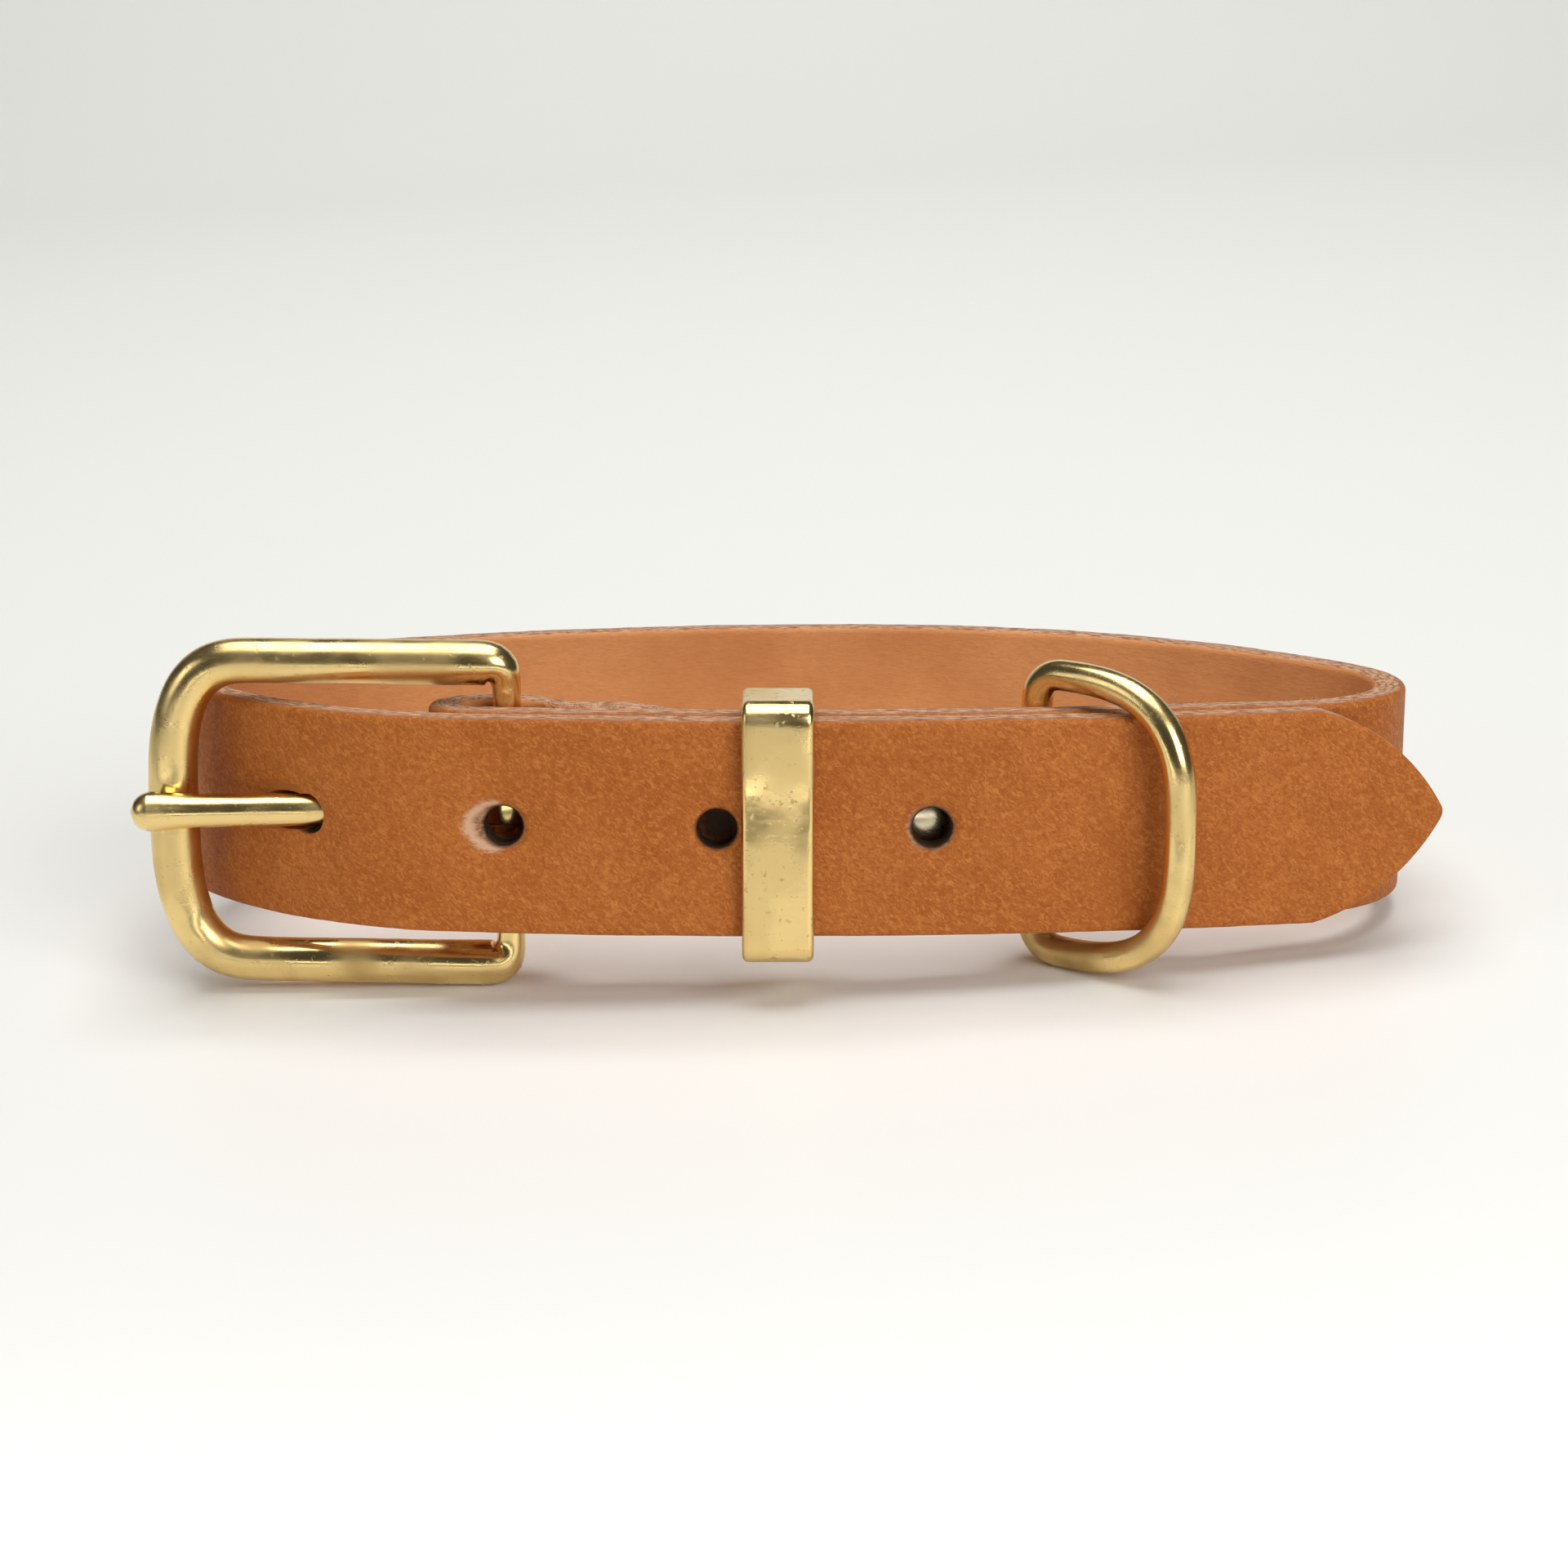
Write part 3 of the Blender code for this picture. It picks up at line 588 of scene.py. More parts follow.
def blank_punches():
    """Punches that stand clear of each other, and the wider seats of the rivets."""
    over = STRAP_THICKNESS
    punches = [tongue_slot()]
    seats = []
    for k, (width, stretch, _) in enumerate(HOLE_MOUTHS):
        size = HOLE_DIAMETER
        punches.append(mouthed_punch(hole_place(k), width * size / 2, stretch * size))
    for _, distance in RIVETS:
        shank = RIVET_SHANK / 2 + CLEARANCE
        for flat in (UNDER_HEEL - distance, FOLD_END + FOLD_SLACK + distance):
            punches.append(punch(shank, -over, 2 * over, flat))
        seat = RIVET_HEAD / 2 + CLEARANCE
        seats.append(punch(seat, -over, RIVET_DOME + RIVET_RIM, UNDER_HEEL - distance))
    return gathered(punches), gathered(seats)


def crease_at(length, height):
    """How deep the grain is creased at a place of the flat strap."""
    total = 0.0
    place = Vector((length, height))
    for l0, h0, l1, h1, width, depth in CREASES:
        start, end = Vector((l0, h0)), Vector((l1, h1))
        run = end - start
        share = min(max((place - start).dot(run) / run.length_squared, 0.0), 1.0)
        wander = 0.0007 * noise.noise(Vector((length * 350, height * 120, 7.0 * depth)))
        beside = (place - start - share * run).length + wander
        taper = math.sin(math.pi * min(max(0.05 + 0.9 * share, 0.0), 1.0))
        total += depth * taper * math.exp(-((beside / width) ** 2))
    return total


def press_at(length, height):
    """(how deep the grain is pressed round the holes, how torn it is, how much shade is painted into the
    hole walls).
    """
    sunk = torn = painted_hole_shade = 0.0
    for k, (width, stretch, tear) in enumerate(HOLE_MOUTHS):
        across = Vector((length - hole_place(k), height))
        reach = across.length / (HOLE_DIAMETER / 2)
        away = across.x / max(across.length, 1e-6)
        if across.x > 0:
            across.x /= 1 + 1.2 * stretch
        rim = width * HOLE_DIAMETER / 2
        beside = max(0.0, across.length - HOLE_DIAMETER / 2)
        if beside > 4 * rim:
            continue
        sunk += 0.00026 * width * math.exp(-((beside / (0.75 * rim)) ** 2))
        lip = math.exp(-((beside / (0.18 * rim)) ** 2))
        scoop = ease(0.5 + 1.2 * away) * math.exp(-((beside / (0.34 * rim)) ** 2))
        torn = max(torn, tear * max(scoop, 0.5 * lip))
        # Painted shade: the hole walls are darkened, as if shade fell inside the hole.
        painted_hole_shade = max(painted_hole_shade, 1 - ease(5 * (reach - 1.02)))
    return sunk, torn, painted_hole_shade


def shade_under(length, height):
    """Painted shade on the layer under the free end, behind its open holes."""
    painted_hole_shade = 0.0
    for k in range(len(HOLE_MOUTHS)):
        behind = UNDER_HEEL - (HEEL_AT - hole_place(k)) * UNDER_RADIUS / FRONT_RADIUS
        reach = math.hypot(length - behind, height)
        painted_hole_shade = max(painted_hole_shade, 1 - ease((reach / (0.9 * HOLE_DIAMETER) - 0.4) / 0.6))
    return painted_hole_shade


def wear_and_bend(bm, settings):
    """Press, crease and bend the flat strap. Each vertex keeps its flat place, its wear and the shade
    painted round the holes.
    """
    flat_layer = bm.verts.layers.float_vector.new("flat")
    torn_layer = bm.verts.layers.float.new("torn")
    crease_layer = bm.verts.layers.float.new("crease")
    painted_hole_shade_layer = bm.verts.layers.float.new("painted_hole_shade")
    edge = STRAP_WIDTH / 2
    for vert in bm.verts:
        length, depth, height = vert.co
        vert[flat_layer] = vert.co
        on_grain = 1 - ease(depth / (0.6 * STRAP_THICKNESS))
        sunk = torn = crease = painted_hole_shade = 0.0
        if length < TONGUE_HOLE_AT + 1.6 * HOLE_PITCH:
            sunk, torn, painted_hole_shade = press_at(length, height)
            crease = crease_at(length, height)
            # The painted hole shade stays off the grain face and darkens only the walls below it.
            painted_hole_shade *= ease(depth / 0.0006)
        elif abs(length - UNDER_HEEL + HEEL_AT / 2) < HEEL_AT / 2 + HOLE_PITCH:
            # Painted shade on the under layer, where it lies behind the holes of the free end.
            painted_hole_shade = shade_under(length, height) * on_grain
        vert[torn_layer] = torn * on_grain
        vert[painted_hole_shade_layer] = painted_hole_shade
        vert[crease_layer] = min(1.0, crease / 0.0001) * on_grain
        swell = noise.noise(Vector((length * 110, height * 90, 3.0 + 40 * depth)))
        nick = noise.noise(Vector((length * 700, math.copysign(5.0, height), depth * 300)))
        near_edge = ease((abs(height) - 0.93 * edge) / (0.07 * edge))
        wander = 0.00005 * noise.noise(Vector((length * 160, math.copysign(9.0, height), 2.0)))
        depth += on_grain * (sunk + crease) + settings.waviness * swell
        height += math.copysign(1.0, height) * near_edge * (wander + 0.00003 * nick)
        plan = bent(length, min(max(depth, -0.0001), STRAP_THICKNESS + 0.0001))
        vert.co = (plan.x, plan.y, height)


# Brass fittings


def resampled(rows, spacing, closed):
    """Rows of (across, up, half thickness) at even steps along their line."""
    if closed:
        rows = rows + rows[:1]
    rows = [Vector(row) for row in rows]
    reach = [0.0]
    for a, b in zip(rows, rows[1:]):
        reach.append(reach[-1] + (b - a).to_2d().length)
    count = max(8, round(reach[-1] / spacing))
    out = []
    index = 0
    for k in range(count + (not closed)):
        wanted = min(reach[-1] * k / count, reach[-1])
        while index < len(rows) - 2 and reach[index + 1] < wanted:
            index += 1
        span = max(reach[index + 1] - reach[index], 1e-12)
        out.append(rows[index].lerp(rows[index + 1], (wanted - reach[index]) / span))
    return out


def relaxed(rows, rounds, closed):
    """Rows drawn towards their neighbours' middle, which takes small kinks out of the line."""
    count = len(rows)
    for _ in range(rounds):
        fresh = list(rows)
        for k in range(count):
            if closed or 0 < k < count - 1:
                fresh[k] = rows[k] / 2 + (rows[k - 1] + rows[(k + 1) % count]) / 4
        rows = fresh
    return rows


def round_section(sides):
    return [
        (math.cos(2 * math.pi * k / sides), math.sin(2 * math.pi * k / sides)) for k in range(sides)
    ]


def tube(rows, section, closed):
    """Closed shell along rows in the XZ plane. A section point is (in the plane, along Y)."""
    bm = bmesh.new()
    loops = []
    count = len(rows)
    for k, row in enumerate(rows):
        ahead = rows[(k + 1) % count] if closed or k < count - 1 else row
        behind = rows[k - 1] if closed or k else row
        run = (ahead - behind).to_2d().normalized()
        ring = bmesh.ops.create_circle(bm, cap_ends=False, segments=len(section), radius=1.0)["verts"]
        for vert, (out, along) in zip(ring, section):
            vert.co = (row.x + row.z * out * run.y, row.z * along, row.y - row.z * out * run.x)
        loops.append(list({edge for vert in ring for edge in vert.link_edges}))
    pairs = list(zip(loops, loops[1:]))
    if closed:
        pairs.append((loops[-1], loops[0]))
    for first, second in pairs:
        bmesh.ops.bridge_loops(bm, edges=first + second)
    if not closed:
        for loop in (loops[0], loops[-1]):
            bmesh.ops.edgeloop_fill(bm, edges=loop)
    return bm


def uneven(bm, height, scale, seed):
    """Soft swells of a hand-polished casting."""
    bm.normal_update()
    moves = []
    for vert in bm.verts:
        swell = noise.noise(vert.co * scale + Vector((seed, 0.0, 0.0)))
        swell += 0.4 * noise.noise(vert.co * 3.1 * scale + Vector((0.0, seed, 0.0)))
        moves.append((vert, vert.normal * height * swell))
    for vert, move in moves:
        vert.co += move


def corner(centre, radius, first, last, steps):
    """(across, up, share) rows of a rounded corner, by angle in degrees."""
    out = []
    for k in range(steps + 1):
        angle = math.radians(first + (last - first) * k / steps)
        across = centre[0] + radius * math.cos(angle)
        out.append((across, centre[1] + radius * math.sin(angle), k / steps))
    return out


def bow(reach, half, squareness, steps):
    """(across, up, share) rows of a squared quarter oval, from its top to just before its tip."""
    out = []
    power = 2 / squareness
    for k in range(steps):
        angle = math.pi / 2 * k / steps
        out.append((reach * math.sin(angle) ** power, half * math.cos(angle) ** power, k / steps))
    return out


def frame_route():
    """The buckle's centre line, once round from the top of the heel bar."""
    half = (FRAME_HEIGHT - FRAME_BAR) / 2
    heel, bar, left = HEEL_BAR / 2, FRAME_BAR / 2, FRAME_LEFT_BAR / 2
    right_x = -FRAME_HEEL_CORNER
    left_x = FRAME_BOW - FRAME_REACH
    upper = []
    for x, z, share in corner((right_x, half - FRAME_HEEL_CORNER), FRAME_HEEL_CORNER, 0, 90, 12):
        upper.append((x, z, heel + (bar - heel) * ease(share * 1.3)))
    for x, z, share in bow(FRAME_BOW, half, FRAME_SQUARENESS, 90):
        upper.append((left_x - x, z, bar + (left - bar) * share))
    lower = [(x, -z, radius) for x, z, radius in reversed(upper)]
    neck = half - 2.2 * FRAME_BAR / 2
    stub = [(0.0, -neck, heel), (0.0, neck, heel)]
    return upper + [(-FRAME_REACH, 0.0, left)] + lower + stub


def tongue_route(extra):
    """Tongue's centre line from the heel bar's axis, with its half thickness grown by extra."""
    over_bar = FRAME_LEFT_BAR / 2 + CLEARANCE + TONGUE_DIAMETER / 2
    fall = math.asin(over_bar / FRAME_REACH)
    reach = FRAME_REACH * math.cos(fall)
    length = reach + FRAME_LEFT_BAR / 2 + TONGUE_OVERHANG - TONGUE_HEAD / 2
    body, head = TONGUE_DIAMETER / 2 + extra, TONGUE_HEAD / 2 + extra
    rows = [(-HEEL_FOLD - TONGUE_EYE_WALL / 2, 0.0, body)]
    rows.append((-0.9 * reach, 0.0, body))
    steps = 10
    for k in range(1, steps + 1):
        share = k / steps
        along = 0.9 * reach + (1.06 * reach - 0.9 * reach) * share
        rows.append((-along, 0.0, body + (head - body) * ease(share)))
    for k in range(steps):
        angle = math.pi / 2 * k / (steps - 0.4)
        rows.append((-length - head * math.sin(angle), 0.0, head * math.cos(angle)))
    return rows, -FRAME_TURN + fall


def ring_route():
    """Centre line of the D, once round: the straight bar on Z and the bow towards +X."""
    wire = RING_WIRE / 2
    half = RING_HEIGHT / 2 - wire
    reach = RING_DEPTH - wire - RING_CORNER
    upper = []
    for x, z, _ in corner((RING_CORNER, half - RING_CORNER), RING_CORNER, 180, 90, 12):
        upper.append((x, z, wire))
    for x, z, _ in bow(reach, half, RING_SQUARENESS, 90)[1:]:
        upper.append((RING_CORNER + x, z, wire))
    lower = [(x, -z, radius) for x, z, radius in reversed(upper)]
    return upper + [(RING_CORNER + reach, 0.0, wire)] + lower


def band_section(half_wall, half_width, rim, steps):
    """Rounded rectangle of a flat band, as shares of its half wall."""
    out = []
    for side, (wall_sign, width_sign) in enumerate(((1, 1), (-1, 1), (-1, -1), (1, -1))):
        for k in range(steps + 1):
            angle = math.pi / 2 * (side + k / steps)
            out.append((
                (wall_sign * (half_wall - rim) + rim * math.cos(angle)) / half_wall,
                (width_sign * (half_width - rim) + rim * math.sin(angle)) / half_wall,
            ))
        if side == 0 or side == 2:
            for k in (1, 2):
                out.append((
                    wall_sign * (1 - 2 * k / 3) * (half_wall - rim) / half_wall,
                    width_sign * half_width / half_wall,
                ))
        else:
            for k in range(1, 8):
                out.append((wall_sign, width_sign * (1 - k / 4) * (half_width - rim) / half_wall))
    return out


def keeper_route():
    """Centre line of the keeper's wall: a rounded rectangle, depth across and height up."""
    wall = KEEPER_WALL
    half_depth = (2 * STRAP_THICKNESS + LAYER_GAP + 2 * CLEARANCE + wall) / 2
    half_height = (STRAP_WIDTH + 2 * KEEPER_HEADROOM + wall) / 2
    turn = KEEPER_CORNER - wall / 2
    rows = []
    for side, (x_sign, z_sign) in enumerate(((1, 1), (-1, 1), (-1, -1), (1, -1))):
        centre = (x_sign * (half_depth - turn), z_sign * (half_height - turn))
        first = 90 * side
        rows += [(x, z, wall / 2) for x, z, _ in corner(centre, turn, first, first + 90, 10)]
    return rows


def rivet_profile(distance):
    grip = STRAP_THICKNESS + leg_room(distance) + leg_thickness(distance) + CLEARANCE
    head, shank = RIVET_HEAD / 2, RIVET_SHANK / 2
    seat = RIVET_DOME + RIVET_RIM - CLEARANCE
    rim = 0.35 * RIVET_RIM
    profile = [(0.0, 0.0)]
    steps = 10
    for k in range(1, steps + 1):
        angle = math.pi / 2 * k / steps
        profile.append((head * math.sin(angle), RIVET_DOME * (1 - math.cos(angle))))
    profile += [(head, seat - rim), (head - rim, seat), (shank, seat), (shank, grip)]
    profile += [(head - rim, grip), (head, grip + rim), (head, grip + RIVET_RIM)]
    for k in range(1, steps):
        angle = math.pi / 2 * k / steps
        rise = grip + RIVET_RIM + RIVET_DOME * math.sin(angle)
        profile.append((head * math.cos(angle), rise))
    return profile + [(0.0, grip + RIVET_RIM + RIVET_DOME)]


def in_fold(distance, depth, drop, turn):
    """Place on the floor of a fitting that sits in the fold."""
    place = leg_point(distance, depth)[0]
    return BAND @ Matrix.Translation((place.x, place.y, drop)) @ Matrix.Rotation(turn, 4, "Z")


# Materials


class Shader:
    """Node tree of a new material. An input given as a socket is linked, any other is set."""

    def __init__(self, name, roughness, metallic=0.0, **constants):
        self.material = bpy.data.materials.new(name)
        self.material.use_nodes = True
        self.tree = self.material.node_tree
        self.principled = self.tree.nodes["Principled BSDF"]
        self.put(self.principled, {"Roughness": roughness, "Metallic": metallic, **constants})

    def put(self, target, inputs):
        for key, value in inputs.items():
            socket = target.inputs[key]
            if isinstance(value, bpy.types.NodeSocket):
                self.tree.links.new(value, socket)
            else:
                socket.default_value = value

    def node(self, kind, inputs=None, **options):
        new = self.tree.nodes.new(f"ShaderNode{kind}")
        for key, value in options.items():
            setattr(new, key, value)
        self.put(new, inputs or {})
        return new

    def attribute(self, name, output):
        return self.node("Attribute", attribute_name=name).outputs[output]

    def mapped(self, vector, scale):
        return self.node("Mapping", {"Vector": vector, "Scale": scale}).outputs["Vector"]

    def noise(self, vector, scale, detail=3.0, roughness=0.55, distortion=0.0):
        return self.node("TexNoise", {
            "Vector": vector, "Scale": scale, "Detail": detail, "Roughness": roughness,
            "Distortion": distortion,
        }).outputs["Fac"]

    def cells(self, vector, scale, feature, randomness=1.0):
        inputs = {"Vector": vector, "Scale": scale, "Randomness": randomness}
        return self.node("TexVoronoi", inputs, feature=feature).outputs["Distance"]

    def span(self, value, low, high, to_low=0.0, to_high=1.0):
        return self.node("MapRange", {
            "Value": value, "From Min": low, "From Max": high, "To Min": to_low, "To Max": to_high,
        }, interpolation_type="SMOOTHSTEP").outputs["Result"]

    def maths(self, operation, a, b=0.0, clamp=False):
        return self.node("Math", {0: a, 1: b}, operation=operation, use_clamp=clamp).outputs[0]

    def mix(self, factor, a, b, blend="MIX"):
        inputs = {"Factor": factor}
        for key, value in (("A", a), ("B", b)):
            if not isinstance(value, bpy.types.NodeSocket):
                value = (*value, 1.0)
            inputs[key] = value
        new = self.tree.nodes.new("ShaderNodeMix")
        new.data_type = "RGBA"
        new.blend_type = blend
        colour_inputs = {s.name: s for s in new.inputs if s.type == "RGBA"}
        for key, value in inputs.items():
            socket = new.inputs["Factor"] if key == "Factor" else colour_inputs[key]
            if isinstance(value, bpy.types.NodeSocket):
                self.tree.links.new(value, socket)
            else:
                socket.default_value = value
        return next(s for s in new.outputs if s.type == "RGBA")

    def bump(self, height, distance, strength=1.0, normal=None):
        inputs = {"Height": height, "Distance": distance, "Strength": strength}
        if normal is not None:
            inputs["Normal"] = normal
        return self.node("Bump", inputs).outputs["Normal"]

    def finish(self, **inputs):
        self.put(self.principled, {key.replace("_", " "): value for key, value in inputs.items()})
        return self.material


def tan_leather(settings):
    """Vegetable-tanned strap leather: pebbled grain side, fibrous edges, smooth flesh side."""
    s = Shader("tan_strap_leather", 0.5, **{"Specular IOR Level": 0.15})
    flat = s.attribute("flat", "Vector")
    torn = s.attribute("torn", "Fac")
    crease = s.attribute("crease", "Fac")
    painted_hole_shade = s.attribute("painted_hole_shade", "Fac")
    depth = s.node("SeparateXYZ", {0: flat}).outputs["Y"]
    ragged = s.maths("MULTIPLY", s.noise(flat, 900.0, 3.0), 0.00025)
    depth = s.maths("ADD", depth, s.maths("SUBTRACT", ragged, 0.000125))
    cut = s.span(depth, 0.00022, 0.00050)
    flesh = s.span(depth, STRAP_THICKNESS - 0.0004, STRAP_THICKNESS - 0.00015)

    cloudy = s.noise(flat, 90.0, 3.0, 0.6, 0.4)
    blotchy = s.noise(flat, 380.0, 3.0, 0.65)
    slanted = s.node("VectorRotate", {
        "Vector": flat, "Axis": (0.0, 1.0, 0.0), "Angle": 0.7,
    }, rotation_type="AXIS_ANGLE").outputs[0]
    crumb = s.noise(s.mapped(slanted, (0.55, 1.0, 1.0)), 1.0 / settings.pebble, 2.0, 0.6, 1.4)
    pores = s.cells(flat, 0.62 / settings.pebble, "SMOOTH_F1")
    grain = s.mix(s.span(cloudy, 0.36, 0.64, 0.35, 0.0), settings.grain, settings.grain_dark)
    grain = s.mix(s.span(blotchy, 0.50, 0.72, 0.0, 0.28), grain, settings.grain_pale)
    grain = s.mix(s.span(crumb, 0.52, 0.34, 0.0, 0.62), grain, settings.grain_dark)
    grain = s.mix(s.span(crumb, 0.50, 0.68, 0.0, 0.60), grain, settings.grain_pale)
    # Painted shade: the grain is darkened along the creases.
    grain = s.mix(s.maths("MULTIPLY", crease, 0.35), grain, settings.grain_dark)

    streaks = s.noise(s.mapped(flat, (0.30, 1.0, 1.0)), 2600.0, 4.0, 0.6)
    fibres = s.noise(s.mapped(flat, (0.35, 1.0, 1.0)), 3400.0, 4.0, 0.7, 0.5)
    edge = s.mix(s.span(streaks, 0.36, 0.62), settings.edge_dark, settings.edge)
    burnish = s.span(s.noise(flat, 260.0, 3.0), 0.35, 0.65, 0.25, 0.80)
    rim = s.maths("MULTIPLY", s.span(depth, 0.00095, 0.00045), burnish)
    edge = s.mix(rim, edge, settings.edge_dark)

    stains = s.noise(flat, 60.0, 4.0, 0.6)
    nap = s.noise(s.mapped(flat, (0.45, 1.0, 1.0)), 2200.0, 5.0, 0.7)
    inner = s.mix(s.span(stains, 0.40, 0.70, 0.0, 0.55), settings.flesh, settings.flesh_dark)
    inner = s.mix(s.span(nap, 0.62, 0.34, 0.0, 0.30), inner, settings.flesh_dark)

    ripped = s.span(s.maths("ADD", torn, s.span(fibres, 0.3, 0.7, -0.12, 0.12)), 0.25, 0.70)
    colour = s.mix(ripped, grain, settings.edge)
    colour = s.mix(cut, colour, edge)
    colour = s.mix(flesh, colour, inner)
    # Painted shade: hole walls and the layer behind the holes are darkened to near black.
    colour = s.mix(s.maths("MULTIPLY", painted_hole_shade, 0.93), colour, (0.012, 0.006, 0.003))

    grain_height = s.maths("ADD", s.maths("MULTIPLY", pores, 0.5), crumb)
    rough_height = s.maths("ADD", s.maths("MULTIPLY", streaks, 1.4), fibres)
    off_grain = s.maths("MAXIMUM", cut, ripped)
    height = s.node("Mix", {0: off_grain, 2: grain_height, 3: rough_height}).outputs[0]
    normal = s.bump(height, 0.00012, 0.60)
    roughness = s.maths("ADD", s.span(blotchy, 0.3, 0.7, 0.46, 0.58), s.maths("MULTIPLY", off_grain, 0.3))
    return s.finish(Base_Color=colour, Roughness=roughness, Normal=normal)


def fibre_leather(settings):
    s = Shader("loose_leather_fibre", 0.8)
    where = s.node("TexCoord").outputs["Object"]
    tone = s.noise(where, 900.0, 2.0)
    return s.finish(Base_Color=s.mix(s.span(tone, 0.4, 0.6), settings.edge, settings.flesh_dark))


def brass(name, colour, settings, roughness, pits=0.0, tarnish=0.0, satin=0.0):
    """Polished brass with casting texture, small pits, satin wear and tarnish in its lower half."""
    s = Shader(name, roughness, 1.0)
    where = s.node("TexCoord").outputs["Object"]
    up = s.node("SeparateXYZ", {0: where}).outputs["Z"]
    cloud = s.noise(where, 150.0, 2.0, 0.5)
    fine = s.noise(where, 1400.0, 4.0, 0.65)
    scratch = s.noise(s.mapped(where, (0.25, 1.0, 1.0)), 4200.0, 3.0, 0.6)
    low = s.span(up, 0.020, 0.002)
    film = s.maths("MULTIPLY", s.span(cloud, 0.36, 0.80), s.maths("ADD", s.maths("MULTIPLY", low, 0.8), 0.2))
    film = s.maths("MULTIPLY", film, tarnish, clamp=True)
    specks = s.maths("MULTIPLY", s.span(fine, 0.60, 0.70), pits, clamp=True)
    tone = s.mix(film, colour, settings.tarnish)
    tone = s.mix(s.maths("MULTIPLY", specks, 0.55), tone, settings.tarnish)
    wear = s.span(cloud, 0.35, 0.70, 0.0, satin)
    rough = s.maths("ADD", s.maths("ADD", wear, roughness), s.maths("MULTIPLY", film, 0.22))
    rough = s.maths("ADD", rough, s.maths("MULTIPLY", specks, 0.25))
    rough = s.maths("ADD", rough, s.span(scratch, 0.45, 0.75, 0.0, 0.05), clamp=True)
    relief = s.maths("ADD", s.maths("MULTIPLY", specks, -1.2), s.maths("MULTIPLY", fine, 0.35))
    normal = s.bump(relief, 0.00002, 0.6)
    return s.finish(Base_Color=tone, Roughness=rough, Normal=normal)


def floor_finish(settings):
    s = Shader("studio_floor", 0.42, **{"Specular IOR Level": 0.30})
    where = s.node("TexCoord").outputs["Object"]
    tone = s.span(s.noise(where, 6.0, 2.0), 0.3, 0.7, 0.0, 0.5)
    pale = [min(1.0, 1.015 * value) for value in settings.floor]
    return s.finish(Base_Color=s.mix(tone, settings.floor, pale))


def flag_finish():
    s = Shader("dark_flag_cloth", 0.9)
    tone = s.noise(s.node("TexCoord").outputs["Object"], 40.0, 2.0)
    return s.finish(Base_Color=s.mix(tone, (0.030, 0.028, 0.022), (0.050, 0.046, 0.038)))


# Operators


class COLLAR_OT_strap(bpy.types.Operator):
    """Cut, punch, wear and bend the leather strap"""

    bl_idname = "collar.make_strap"
    bl_label = "Make Strap"

    def execute(self, context):
        settings = context.scene.collar_leather
        blank = scratch_object(flat_blank(settings), "blank")
        punches, seats = blank_punches()
        bm = combined(
            blank,
            ("DIFFERENCE", scratch_object(punches, "punches")),
            ("DIFFERENCE", scratch_object(seats, "seats")),
        )
        wear_and_bend(bm, settings)
        rows, turn = tongue_route(CLEARANCE)
        heel = leg_point(0.0, STRAP_THICKNESS + HEEL_FOLD)[0]
        channel = tube(resampled(rows, 0.0008, False), round_section(24), False)
        place = Matrix.Translation((heel.x, heel.y, TONGUE_RISE)) @ Matrix.Rotation(turn, 4, "Z")
        bmesh.ops.transform(channel, verts=channel.verts, matrix=place)
        bm = combined(
            scratch_object(bm, "bent strap"), ("DIFFERENCE", scratch_object(channel, "channel"))
        )
        obj = finished(bm, "strap_leather", tan_leather(settings), BAND, 60)
        as_piece(obj, "strap", "collar")
        return {"FINISHED"}


class COLLAR_OT_buckle(bpy.types.Operator):
    """Cast the buckle's frame"""

    bl_idname = "collar.make_buckle"
    bl_label = "Make Buckle Frame"

    def execute(self, context):
        settings = context.scene.collar_brass
        rows = relaxed(resampled(frame_route(), 0.0005, True), 4, True)
        bm = tube(rows, round_section(40), True)
        uneven(bm, settings.unevenness, 170.0, 3.0)
        material = brass("cast_brass", settings.colour, settings, settings.polish, 0.5, 0.7, 0.20)
        place = in_fold(0.0, STRAP_THICKNESS + HEEL_FOLD, -FRAME_DROP, -FRAME_TURN)
        obj = finished(bm, "buckle_casting", material, place)
        as_piece(obj, "buckle_frame", "collar")
        return {"FINISHED"}


class COLLAR_OT_tongue(bpy.types.Operator):
    """Forge the tongue with its eye round the heel bar"""

    bl_idname = "collar.make_tongue"
    bl_label = "Make Tongue"

    def execute(self, context):
        settings = context.scene.collar_brass
        rows, turn = tongue_route(0.0)
        shaft = tube(resampled(rows, 0.00035, False), round_section(36), False)
        uneven(shaft, 0.6 * settings.unevenness, 260.0, 8.0)
        eye = bmesh.new()
        bmesh.ops.create_cone(
            eye, cap_ends=True, segments=48, depth=TONGUE_DIAMETER,
            radius1=HEEL_FOLD + TONGUE_EYE_WALL, radius2=HEEL_FOLD + TONGUE_EYE_WALL,
        )
        rims = [e for e in eye.edges if abs(e.verts[0].co.z - e.verts[1].co.z) < 1e-6]
        bmesh.ops.bevel(
            eye, geom=rims, offset=0.0006, segments=4, profile=0.5, affect="EDGES", material=-1
        )
        bore = bmesh.new()
        bmesh.ops.create_cone(
            bore, cap_ends=True, segments=48, radius1=HEEL_FOLD, radius2=HEEL_FOLD,
            depth=2 * TONGUE_HEAD,
        )
        bm = combined(
            scratch_object(eye, "eye"),
            ("UNION", scratch_object(shaft, "shaft")),
            ("DIFFERENCE", scratch_object(bore, "bore")),
        )
        material = brass("tongue_brass", settings.colour, settings, settings.polish, 0.3, 0.35, 0.16)
        place = in_fold(0.0, STRAP_THICKNESS + HEEL_FOLD, TONGUE_RISE, turn)
        obj = finished(bm, "tongue_bar", material, place)
        as_piece(obj, "tongue", "collar")
        return {"FINISHED"}


